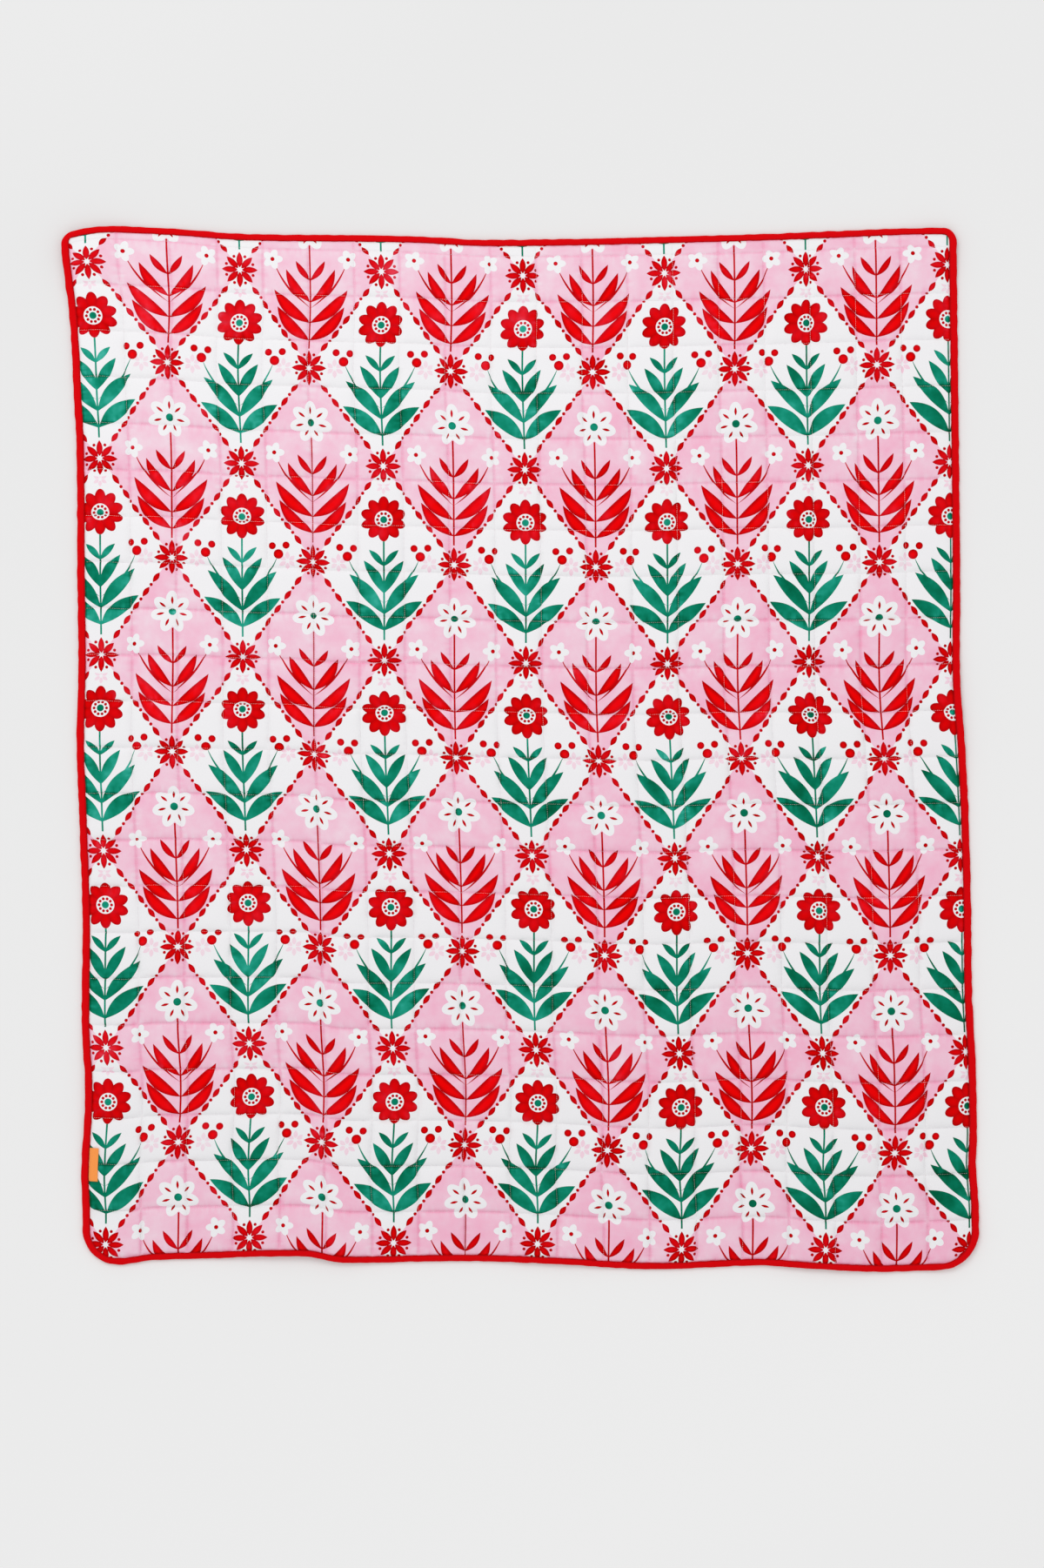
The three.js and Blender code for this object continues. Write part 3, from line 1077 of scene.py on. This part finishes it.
class Ink(Enum):
    """The colours of the cloths, the print and the studio, as sRGB hex values."""

    WHITE = "F1F0F2"
    PINK = "F3C5D8"
    PALE_PINK = "F3D9E4"
    RED = "F00309"
    # A deeper red: the print's rims, and the painted shade at the binding's inner edge.
    RED_RIM_AND_SHADE = "B6040C"
    GREEN = "0A8165"
    BINDING = "DC040C"
    ORANGE = "FF9D50"
    THREAD = "FBEFF2"
    BACKDROP = "EBEBEB"


def linear(ink: Ink) -> tuple[float, float, float, float]:
    """Turns a colour into the linear values that a shader takes.

    Args:
        ink: The colour.

    Returns:
        Red, green, blue and a full alpha.
    """
    channels = []
    for start in (0, 2, 4):
        value = int(ink.value[start:start + 2], 16) / 255
        channels.append(value / 12.92 if value <= BLACK_KNEE else ((value + 0.055) / 1.055) ** 2.4)
    return (*channels, 1.0)


class Nodes:
    """Adds nodes to the tree of a material or a world, which it empties first."""

    def __init__(self, owner: Material | World) -> None:
        """Empties the tree.

        Args:
            owner: The material or the world whose tree it is.
        """
        owner.use_nodes = True
        self.tree = owner.node_tree
        self.tree.nodes.clear()

    def __call__(self, kind: str, *inputs: object, named: dict[str, object] | None = None,
                 **settings: object) -> NodeSocket:
        """Adds a node, sets it up and fills its inputs.

        Args:
            kind: The node's type without its ShaderNode, and its operation after a space if it has one.
            inputs: A socket to link or a value to set for each live input in turn.
            named: The same by the inputs' names.
            settings: The node's own settings.

        Returns:
            The node's first live output, or its first input where it has no output.
        """
        kind, *operation = kind.split()
        node = self.tree.nodes.new("ShaderNode" + kind)
        for setting, value in [*zip(["operation"], operation), *settings.items()]:
            setattr(node, setting, value)
        live = [socket for socket in node.inputs if socket.enabled]
        pairs = [*zip(live, inputs), *((node.inputs[name], value) for name, value in (named or {}).items())]
        for socket, value in pairs:
            if isinstance(value, NodeSocket):
                self.tree.links.new(value, socket)
            else:
                socket.default_value = value
        return ([socket for socket in node.outputs if socket.enabled] or list(node.inputs))[0]

    def shaded(self, colour: Colour, tone: NodeSocket) -> NodeSocket:
        """A colour made darker or lighter by a tone, where one leaves it as it is."""
        grey = self("CombineXYZ", tone, tone, tone)
        return self("Mix", 1.0, colour, grey, data_type="RGBA", blend_type="MULTIPLY")


class Sketch:
    """A place that shapes are printed round, and the nodes that work it out."""

    def __init__(self, node: Nodes, place: NodeSocket) -> None:
        """Starts from a place that is measured from the middle of the shapes, in millimetres."""
        self.node, self.place = node, place
        self.across, self.along = node("SeparateXYZ", place).node.outputs[:2]

    def pointed(self, onward: NodeSocket, aside: NodeSocket, width: float, bend: float = 0.0) -> NodeSocket:
        """How far inside a shape with two pointed ends the place is.

        Args:
            onward: The share of the shape's length that lies before the place.
            aside: The place's distance from the shape's middle line, in four widths.
            width: The shape's greatest width.
            bend: How much more it is curved on one side.

        Returns:
            Millimetres, below zero outside the shape.
        """
        node = self.node
        half = node("Math MULTIPLY", onward, node("Math SUBTRACT", 1.0, onward))
        distance = node("Math ABSOLUTE", node("Math MULTIPLY_ADD", half, -bend, aside))
        return node("Math MULTIPLY", node("Math SUBTRACT", half, distance), 4 * width)

    def deepest(self, shapes: "Iterable[Shape]") -> NodeSocket:
        """How far inside any of some shapes the place is."""
        return reduce(partial(self.node, "Math MAXIMUM"), [shape.depth(self) for shape in shapes])

    def inked(self, ground: Colour, depth: NodeSocket, ink: Ink) -> NodeSocket:
        """Prints a shape over a ground. The red lies thicker, and so deeper, towards its rim.

        Args:
            ground: The colour under it.
            depth: How far inside the shape the place is.
            ink: The shape's ink.

        Returns:
            The printed colour.
        """
        colour = linear(ink)
        if ink is Ink.RED:
            body = self.node("MapRange", depth, 0.0, RIM_REACH, 0.0, 1.0)
            colour = self.node("Mix", body, linear(Ink.RED_RIM_AND_SHADE), colour, data_type="RGBA")
        inside = self.node("Math GREATER_THAN", depth, 0.0)
        return self.node("Mix", inside, ground, colour, data_type="RGBA")

    def paint(self, ground: Colour, layers: "Iterable[Layer]") -> NodeSocket:
        """Prints layers over a ground, each over those before it.

        Args:
            ground: The colour under them.
            layers: The layers.

        Returns:
            The printed colour.
        """
        for layer in layers:
            ground = self.inked(ground, self.deepest(layer.shapes), layer.ink)
        return ground


@dataclass(frozen=True)
class Disc:
    """A printed round spot."""

    across: float
    along: float
    radius: float

    def depth(self, sketch: Sketch) -> NodeSocket:
        """How far inside the spot the sketch's place is."""
        distance = sketch.node("VectorMath DISTANCE", sketch.place, (self.across, self.along, 0))
        return sketch.node("Math SUBTRACT", self.radius, distance)


@dataclass(frozen=True)
class Leaf:
    """A printed leaf with two pointed ends, more curved on one side where its bend isn't zero."""

    across: float
    along: float
    turn: float
    length: float
    width: float
    bend: float = 0.0

    def depth(self, sketch: Sketch) -> NodeSocket:
        """How far inside the leaf the sketch's place is.

        Args:
            sketch: The sketch.

        Returns:
            Millimetres, below zero outside the leaf.
        """
        own = Sketch(sketch.node, sketch.node(
            "Mapping", sketch.place, (self.across, self.along, 0), (0, 0, math.radians(self.turn)),
            (self.length, 4 * self.width, 1), vector_type="TEXTURE"))
        return own.pointed(own.across, own.along, self.width, self.bend)


@dataclass(frozen=True)
class Stem:
    """A printed stem that stands on the motif's middle line."""

    foot: float
    height: float
    thickness: float

    def depth(self, sketch: Sketch) -> NodeSocket:
        """How far inside the stem the sketch's place is.

        Args:
            sketch: The sketch.

        Returns:
            Millimetres, zero or below outside the stem.
        """
        node, half = sketch.node, self.height / 2
        near = node("Math SUBTRACT", self.thickness / 2, sketch.across)
        return node("Math MULTIPLY", near, node("Math COMPARE", sketch.along, self.foot + half, half))


class PetalForm(Enum):
    """How a petal ends."""

    POINTED = "pointed"
    ROUND = "round"


@dataclass(frozen=True)
class Whorl:
    """Printed petals, or dots, set evenly in a ring."""

    along: float
    count: int
    inner: float
    outer: float
    width: float
    form: PetalForm = PetalForm.ROUND
    across: float = 0.0
    phase: float = 0.0

    def depth(self, sketch: Sketch) -> NodeSocket:
        """How far inside a petal the sketch's place is: the ring is folded onto one petal.

        Args:
            sketch: The sketch.

        Returns:
            Millimetres, below zero outside the petals.
        """
        node = sketch.node
        own = Sketch(node, node("VectorMath SUBTRACT", sketch.place, (self.across, self.along, 0)))
        radius = node("VectorMath LENGTH", own.place)
        angle = node("Math ARCTAN2", own.across, own.along)
        turns = node("Math MULTIPLY_ADD", angle, self.count / (2 * math.pi), self.phase + 0.5)
        folded = node("Math SUBTRACT", node("Math FRACT", turns), 0.5)
        arc = node("Math MULTIPLY", folded, radius)
        pointed = self.form is PetalForm.POINTED
        aside = node("Math MULTIPLY", arc, 2 * math.pi / self.count / (self.width * (4 if pointed else 1)))
        if pointed:
            length = self.outer - self.inner
            onward = node("Math MULTIPLY_ADD", radius, 1 / length, -self.inner / length)
            return own.pointed(onward, aside, self.width)
        half = (self.outer - self.inner) / 2
        onward = node("Math MULTIPLY_ADD", radius, 1 / half, -(self.inner + half) / half)
        total = node("Math MULTIPLY_ADD", aside, aside, node("Math MULTIPLY", onward, onward))
        return node("Math MULTIPLY_ADD", total, -self.width / 2, self.width / 2)


Shape = Disc | Leaf | Stem | Whorl


@dataclass(frozen=True)
class Layer:
    """Shapes that are printed together in one ink."""

    ink: Ink
    shapes: tuple[Shape, ...]


WHITE_DIAMOND = (
    Layer(Ink.PALE_PINK, (
        Whorl(0, 6, 2.5, 14, 3.2, PetalForm.POINTED, across=68),
        Whorl(114, 6, 2.0, 11, 2.6, PetalForm.POINTED),
    )),
    Layer(Ink.GREEN, (
        Stem(-116, 160, 2.6),
        Leaf(0, -102, 38, 73, 10.5, 0.4),
        Leaf(0, -76, 48, 78, 9.5, 0.35),
        Leaf(0, -46, 60, 58, 7.5, 0.3),
        Leaf(0, -4, 48, 32, 4.5, 0.2),
        Leaf(0, -60, 51.5, 87, 1.5, -4.5),
    )),
    Layer(Ink.RED, (Disc(55, 10, 7.0), Disc(46, 22, 5.2), Disc(66, 23, 5.2), Whorl(66, 10, 10, 34, 8.4))),
    Layer(Ink.WHITE, (Disc(0, 66, 13.0),)),
    Layer(Ink.RED, (Whorl(66, 10, 7.0, 11.2, 2.1, phase=0.5),)),
    Layer(Ink.GREEN, (Disc(0, 66, 5.0),)),
)
PINK_DIAMOND = (
    Layer(Ink.RED, (
        Stem(-120, 160, 2.6),
        Leaf(0, -104, 45, 70, 8.5, -0.7),
        Leaf(0, -78, 43, 74, 8.5, -0.8),
        Leaf(0, -48, 54, 62, 7.0, -0.8),
        Leaf(0, -14, 52, 36, 4.5, -0.5),
        Leaf(0, -57, 52, 88, 1.5, -4.5),
    )),
    Layer(Ink.WHITE, (Whorl(17, 5, 1.5, 15, 5.6, across=56, phase=0.25), Whorl(64, 7, 5, 32, 9.8))),
    Layer(Ink.RED, (Disc(56, 17, 3.0), Whorl(64, 7, 12, 24, 1.8, PetalForm.POINTED))),
    Layer(Ink.GREEN, (Disc(0, 64, 5.6),)),
)
STAR = (
    Layer(Ink.RED, (Whorl(0, 8, 3.0, 26.0, 4.6, PetalForm.POINTED), Whorl(0, 8, 18.5, 23.0, 2.2, phase=0.5))),
    Layer(Ink.WHITE, (Disc(0, 0, 3.6),)),
)


@dataclass(frozen=True)
class DiamondPrint:
    """A harlequin print: white and pink diamonds with a flower in each, beaded sides and a star between."""

    half_width: float = 106.0
    half_height: float = 146.0
    right: float = 31.0
    up: float = 12.0
    beads: int = 7
    bead_length: float = 17.0
    bead_width: float = 3.7
    dot_radius: float = 2.4
    star_clearing: float = 28.5

    def counted(self, node: Nodes, place: NodeSocket) -> list[NodeSocket]:
        """A place's parts across and along, counted in half diamonds."""
        share = (1 / self.half_width, 1 / self.half_height, 0)
        return node("SeparateXYZ", node("VectorMath MULTIPLY", place, share)).node.outputs[:2]

    def middle(self, node: Nodes, place: NodeSocket, offset: float) -> tuple[NodeSocket, NodeSocket]:
        """Measures a place from the nearest point of the diamonds' lattice.

        Args:
            node: Adds the nodes.
            place: The place on the cloth.
            offset: 0 to measure from the diamonds' middles, or 0.5 from where four of them meet.

        Returns:
            The place measured from that point, and the point's column number.
        """
        parts = self.counted(node, place)
        counts = []
        for operation in ("Math ADD", "Math SUBTRACT"):
            shifted = node("Math MULTIPLY_ADD", node(operation, *parts), 0.5, -offset)
            counts.append(node("Math ADD", node("Math ROUND", shifted), offset))
        column, row = node("Math ADD", *counts), node("Math SUBTRACT", *counts)
        centre = node("VectorMath MULTIPLY", node("CombineXYZ", column, row, 0.0),
                      (self.half_width, self.half_height, 0))
        return node("VectorMath SUBTRACT", place, centre), column

    def side_beads(self, sketch: Sketch) -> NodeSocket:
        """The pointed beads along a diamond's sides, with a dot between each two.

        Args:
            sketch: A sketch whose places are folded into one quarter of the diamond.

        Returns:
            How far inside the beads and dots the place is.
        """
        node = sketch.node
        parts = self.counted(node, sketch.place)
        outside = node("Math SUBTRACT", node("Math ADD", *parts), 1.0)
        travelled = node("Math SUBTRACT", *parts)
        nearest = node("Math ROUND", node("Math MULTIPLY", travelled, self.beads / 2))
        beside = node("Math MULTIPLY_ADD", nearest, -2 / self.beads, travelled)
        ahead, aside = node("Math ADD", outside, beside), node("Math SUBTRACT", outside, beside)
        near = Sketch(node, node("VectorMath MULTIPLY", node("CombineXYZ", ahead, aside, 0.0),
                                 (self.half_width / 2, self.half_height / 2, 0)))
        turn = math.atan2(self.half_height, -self.half_width)
        right, up = math.cos(turn), math.sin(turn)
        half, between = self.bead_length / 2, math.hypot(self.half_width, self.half_height) / self.beads / 2
        bead = Leaf(-right * half, -up * half, math.degrees(turn), self.bead_length, self.bead_width)
        dots = [Disc(right * way, up * way, self.dot_radius) for way in (-between, between)]
        return near.deepest([bead, *dots])

    def colour(self, node: Nodes, cloth: NodeSocket) -> NodeSocket:
        """Draws the whole print.

        Args:
            node: Adds the nodes.
            cloth: The place on the cloth.

        Returns:
            The printed colour.
        """
        place = node("VectorMath ADD", cloth, (-self.right, -self.up, 0))
        local, column = self.middle(node, place, 0)
        across, along = node("SeparateXYZ", local).node.outputs[:2]
        half = Sketch(node, node("CombineXYZ", node("Math ABSOLUTE", across), along, 0.0))
        pink = node("Math PINGPONG", column, 1.0)
        pictures = (half.paint(linear(Ink.WHITE), WHITE_DIAMOND), half.paint(linear(Ink.PINK), PINK_DIAMOND))
        colour = node("Mix", pink, *pictures, data_type="RGBA")
        quarter = Sketch(node, node("VectorMath ABSOLUTE", local))
        colour = quarter.inked(colour, self.side_beads(quarter), Ink.RED)
        corner = Sketch(node, self.middle(node, place, 0.5)[0])
        clear = node("Math GREATER_THAN", Disc(0, 0, self.star_clearing).depth(corner), 0.0)
        ground = node("Mix", pink, linear(Ink.WHITE), linear(Ink.PINK), data_type="RGBA")
        return corner.paint(node("Mix", clear, colour, ground, data_type="RGBA"), STAR)


@dataclass(frozen=True)
class Cloth:
    """What every cloth finish shares: its dye, its threads, its sheen and how rough it is.

    Slubs are where its threads are uneven, and the least is the share of the colour that the darkest ones
    show. Threads of a real pitch wouldn't show at all, so they are drawn about three times coarser.
    """

    name: str
    ink: Ink
    least: float
    thread_pitch: float
    thread_height: float
    roughness: float
    sheen: float
    slub_scale: float = 0.9
    slub_spread: tuple[float, float] = (0.3, 0.7)

    def face(self, node: Nodes, cloth: NodeSocket) -> tuple[Colour, NodeSocket | float]:
        """The colour before the threads make it uneven, and a relief in metres under the weave's."""
        return linear(self.ink), 0.0

    def material(self) -> Material:
        """Makes the material: woven fibre, slightly lighter and darker where its threads are uneven.

        Returns:
            The finished material.
        """
        material = bpy.data.materials.new(self.name)
        node = Nodes(material)
        cloth = node("UVMap", uv_map=CLOTH_MAP)
        colour, relief = self.face(node, cloth)
        turned = node("VectorMath MULTIPLY", cloth, (math.pi / self.thread_pitch,) * 3)
        waves = node("SeparateXYZ", node("VectorMath SINE", turned)).node.outputs[:2]
        weave = node("Math MULTIPLY_ADD", node("Math MULTIPLY", *waves), self.thread_height * MM, relief)
        slubs = node("TexNoise", cloth, noise_dimensions="2D",
                     named={"Scale": self.slub_scale, "Detail": 2.0, "Roughness": 0.6})
        colour = node.shaded(colour, node("MapRange", slubs, *self.slub_spread, self.least, 1.0))
        normal = node("Bump", named={"Strength": 1.0, "Distance": 1.0, "Height": weave})
        node("OutputMaterial", node("BsdfPrincipled", named={
            "Base Color": colour, "Normal": normal, "Roughness": self.roughness, "IOR": 1.5,
            "Specular IOR Level": 0.03, "Sheen Weight": self.sheen, "Sheen Roughness": 0.5,
        }))
        return material


@dataclass(frozen=True)
class PrintedCotton(Cloth):
    """Printed plain-weave cotton, quilted over a thin fill.

    It gives the eye flat inks with crisp edges, a fine dry weave, and puckers that run off the stitches.
    """

    name: str = "printed_plain_weave_cotton"
    ink: Ink = Ink.WHITE
    least: float = 0.955
    thread_pitch: float = 1.0
    thread_height: float = 0.035
    roughness: float = 0.9
    sheen: float = 0.02
    picture: DiamondPrint = DiamondPrint()
    square_pitch: float = 66.0
    pucker_height: float = 0.8
    pucker_reach: float = 15.0
    pucker_scales: tuple[float, float] = (0.025, 0.12)
    # Painted shade: its reach and depth at the seams, a falloff darker towards the hem and the right edge,
    # and its depth in the puckers' hollows.
    seam_reach: float = 3.2
    seam_painted_shade: float = 0.5
    painted_light_falloff: tuple[float, float, float] = (0.00015, -0.00013, 0)
    pucker_painted_shade: float = 1.1
    drift_depth: float = 1.35
    drift_scale: float = 0.022
    square_depth: float = 0.16

    def puckers(self, node: Nodes, cloth: NodeSocket, sides: list[NodeSocket]) -> NodeSocket:
        """The small gathers beside the seams: long away from the seam, short along it.

        Args:
            node: Adds the nodes.
            cloth: The place on the cloth.
            sides: How far the lengthwise and the crosswise seams are, in quilted squares.

        Returns:
            The gathers' height, from about -0.3 to 0.3.
        """
        heights = []
        for aside, scales in zip(sides, (self.pucker_scales, self.pucker_scales[::-1])):
            near = node("MapRange", aside, 0.0, self.pucker_reach / self.square_pitch, 1.0, 0.0,
                        interpolation_type="SMOOTHSTEP")
            drawn = node("VectorMath MULTIPLY", cloth, (*scales, 1))
            waves = node("TexNoise", drawn, noise_dimensions="2D",
                         named={"Scale": 1.0, "Detail": 2.0, "Roughness": 0.5})
            heights.append(node("Math MULTIPLY", near, node("Math SUBTRACT", waves, 0.5)))
        return node("Math ADD", *heights)

    def face(self, node: Nodes, cloth: NodeSocket) -> tuple[Colour, NodeSocket | float]:
        """The print, with painted shade: its inks are darker in the seams, in the puckers' hollows and
        towards the hem and the right edge, standing in for the shade that light bouncing in the dyed hollows
        gives. A random tone that drifts over the cloth and differs from square to square deepens them too.

        The white ground stays as it is, pink changes a little, and green most.

        Args:
            node: Adds the nodes.
            cloth: The place on the cloth.

        Returns:
            The colour, and the puckers' relief in metres.
        """
        squares = node("UVMap", uv_map=SQUARES_MAP)
        counts = node("SeparateXYZ", squares).node.outputs[:2]
        sides = [node("Math PINGPONG", count, 0.5) for count in counts]
        puckers = self.puckers(node, cloth, sides)
        # Painted shade in the seams: the inks' gamma rises within the seam's reach.
        seam = node("MapRange", node("Math MINIMUM", *sides), 0.0, self.seam_reach / self.square_pitch,
                    1 + self.seam_painted_shade, 1.0)
        drift = node("TexNoise", cloth, noise_dimensions="2D",
                     named={"Scale": self.drift_scale, "Detail": 3.0, "Roughness": 0.6})
        own = node("TexWhiteNoise", node("VectorMath FLOOR", squares), noise_dimensions="2D")
        # Painted shade, darker towards the hem and the right edge and in the puckers' hollows; the drift and
        # each square's own tone are random.
        depth = node("Math ADD", seam, node("VectorMath DOT_PRODUCT", cloth, self.painted_light_falloff))
        for rise, middle, share in ((puckers, 0.0, self.pucker_painted_shade), (drift, 0.5, self.drift_depth),
                                    (own, 0.5, self.square_depth)):
            depth = node("Math MULTIPLY_ADD", node("Math SUBTRACT", middle, rise), share, depth)
        white = linear(self.ink)
        ink = node("Mix", 1.0, self.picture.colour(node, cloth), white, data_type="RGBA", blend_type="DIVIDE")
        # The gamma darkens the inks by the painted shade and the random tone; the white ground stays as it
        # is.
        deeper = node("Mix", 1.0, node("Gamma", ink, depth), white, data_type="RGBA", blend_type="MULTIPLY")
        return deeper, node("Math MULTIPLY", puckers, self.pucker_height * MM)


@dataclass(frozen=True)
class PlainCotton(Cloth):
    """Plain-weave backing cotton. It gives the eye a dry matt white, uneven only as its threads are."""

    name: str = "plain_backing_cotton"
    ink: Ink = Ink.WHITE
    least: float = 0.95
    thread_pitch: float = 1.0
    thread_height: float = 0.04
    roughness: float = 0.88
    sheen: float = 0.03


@dataclass(frozen=True)
class BiasCotton(PlainCotton):
    """Plain-dyed cotton cut on the bias and folded into a strip.

    It gives the eye one strong red, with painted shade that darkens it where the strip's inner edge meets the
    printed face.
    """

    name: str = "bias_binding_cotton"
    ink: Ink = Ink.BINDING
    least: float = 0.9
    shade_fade_start: float = 1.5
    shade_fade_reach: float = 2.0

    def face(self, node: Nodes, cloth: NodeSocket) -> tuple[Colour, NodeSocket | float]:
        """The red, with painted shade that darkens it beside the strip's inner edge.

        Args:
            node: Adds the nodes.
            cloth: The place along and round the strip.

        Returns:
            The colour, and no relief.
        """
        # Painted shade: the deeper red lies along the strip's inner edge and fades into the binding red.
        round_strip = node("SeparateXYZ", cloth).node.outputs["Y"]
        end = self.shade_fade_start + self.shade_fade_reach
        unshaded_share = node("MapRange", round_strip, self.shade_fade_start, end, 0.0, 1.0)
        return node("Mix", unshaded_share, linear(Ink.RED_RIM_AND_SHADE), linear(self.ink), data_type="RGBA"), 0.0


@dataclass(frozen=True)
class RibbonSatin(Cloth):
    """Woven satin ribbon. It gives the eye a smooth orange with a soft gloss."""

    name: str = "woven_satin_ribbon"
    ink: Ink = Ink.ORANGE
    least: float = 0.93
    thread_pitch: float = 0.8
    thread_height: float = 0.03
    roughness: float = 0.55
    sheen: float = 0.1


@dataclass(frozen=True)
class SpunThread:
    """Spun polyester sewing thread. It gives the eye light and dark plies, slightly glossier than the cloth.

    Real plies cross the thread every 0.7 mm, which is too fine to show, so theirs are drawn much longer.
    """

    name: str
    ink: Ink
    ply_length: float = 8.8
    least: float = 0.88
    roughness: float = 0.6

    def material(self) -> Material:
        """Makes the material.

        Returns:
            The finished material.
        """
        material = bpy.data.materials.new(self.name)
        node = Nodes(material)
        place = node("TexCoord").node.outputs["Object"]
        # Ten times the scale is how far a diagonal wave turns in a metre, in radians.
        scale = 2 * math.pi / (self.ply_length * MM) / 10
        plies = node("TexWave", place, scale, bands_direction="DIAGONAL")
        tone = node("MapRange", plies.node.outputs["Fac"], 0.0, 1.0, self.least, 1.0)
        node("OutputMaterial", node("BsdfPrincipled", named={
            "Base Color": node.shaded(linear(self.ink), tone), "Roughness": self.roughness, "IOR": 1.5,
            "Specular IOR Level": 0.05, "Sheen Weight": 0.03}))
        return material


# ---- Studio ----


@dataclass
class Studio:
    """A plain pale floor, soft light from past the top edge, and a camera straight above, all in metres."""

    frame_height: float = 2.2525
    frame_centre: tuple[float, float] = (0.0023, -0.0503)
    cloth_level: float = 0.006
    camera_height: float = 5.0
    sensor: float = 36.0
    view_end: float = 100.0
    floor_size: float = 80.0
    floor_drop: float = 0.0004
    sky: float = 0.805
    lamp_power: float = 31.5
    lamp_place: tuple[float, float, float] = (-0.85, 1.85, 3.0)
    lamp_size: float = 1.8
    near_reach: float = 1.15
    near_tone: float = 0.935
    far_reach: float = 3.15
    far_tone: float = 1.103
    fade_start: float = 1.45
    fade_end: float = 3.2

    def place_camera(self) -> None:
        """Hangs the camera above the throw, with the top edge upward in the picture."""
        camera = add_object("camera", bpy.data.cameras.new("camera"))
        camera.data.sensor_width = self.sensor
        camera.data.lens = self.sensor * (self.camera_height - self.cloth_level) / self.frame_height
        camera.data.clip_end = self.view_end
        camera.location = (*self.frame_centre, self.camera_height)
        bpy.context.scene.camera = camera

    def lay_floor(self) -> Object:
        """Lays the floor under the throw.

        Its paper is slightly darker where the lamp is nearer, so it looks even. Far from the throw it shows
        its own colour unlit, so no edge or horizon is seen.

        Returns:
            The floor.
        """
        material = bpy.data.materials.new("graded_backdrop_paper")
        node = Nodes(material)
        place = node("TexCoord").node.outputs["Object"]
        from_lamp = node("VectorMath DISTANCE", place, (*self.lamp_place[:2], 0))
        tone = node("MapRange", from_lamp, self.near_reach, self.far_reach, self.near_tone, self.far_tone)
        far = node("MapRange", node("VectorMath LENGTH", place), self.fade_start, self.fade_end,
                   interpolation_type="SMOOTHSTEP")
        fade = node("Math MULTIPLY", far, node("LightPath").node.outputs["Is Camera Ray"])
        lit = node("BsdfDiffuse", node.shaded(linear(Ink.BACKDROP), tone))
        node("OutputMaterial", node("MixShader", fade, lit, node("Emission", linear(Ink.BACKDROP))))
        bm = bmesh.new()
        bmesh.ops.create_grid(bm, x_segments=1, y_segments=1, size=self.floor_size / 2)
        bmesh.ops.translate(bm, verts=bm.verts, vec=(0, 0, -self.floor_drop))
        floor = add_mesh(bm, "studio_floor", material)
        return floor

    def light(self) -> None:
        """Adds an even sky, which shows as the backdrop's colour, and one broad soft lamp."""
        world = bpy.context.scene.world = bpy.data.worlds.new("studio_sky")
        node = Nodes(world)
        path = node("LightPath").node.outputs
        seen = path["Is Camera Ray"]
        for ray in ("Is Glossy Ray", "Is Transmission Ray"):
            seen = node("Math MAXIMUM", seen, path[ray])
        lit, shown = node("Background", (1, 1, 1, 1), self.sky), node("Background", linear(Ink.BACKDROP), 1.0)
        node("OutputWorld", node("MixShader", seen, lit, shown))
        lamp = add_object("soft_lamp", bpy.data.lights.new("soft_lamp", "AREA"))
        lamp.data.energy = self.lamp_power
        lamp.data.size = self.lamp_size
        lamp.visible_camera = False
        lamp.location = self.lamp_place
        lamp.rotation_mode = "QUATERNION"
        lamp.rotation_quaternion = Vector(self.lamp_place).to_track_quat("Z", "Y")


def main() -> None:
    """Builds the throw's pieces, dresses them and sets up the studio."""
    logging.basicConfig(level=logging.INFO, format="%(message)s")
    bpy.context.scene.view_settings.view_transform = "Standard"
    studio = Studio()
    studio.place_camera()
    studio.light()
    floor = studio.lay_floor()

    plan = ClothPlan()
    panel = QuiltedPanel(plan)
    throw = panel.build(PrintedCotton().material(), PlainCotton().material())
    quilting = SpunThread("spun_quilting_thread", Ink.THREAD).material()
    stitches = [QuiltingThread(panel, seams).build(quilting) for seams in Seams]
    strip = EdgeBinding(plan)
    binding_thread = SpunThread("spun_binding_thread", Ink.BINDING).material()
    binding = strip.build(BiasCotton().material(), binding_thread)
    label = SideLabel(panel, strip).build(RibbonSatin().material())
    added = [*stitches, *binding, label]
    for piece in (throw, *added):
        LOG.info("%s: %d faces", piece.name, len(piece.data.polygons))


if __name__ == "__main__":
    main()
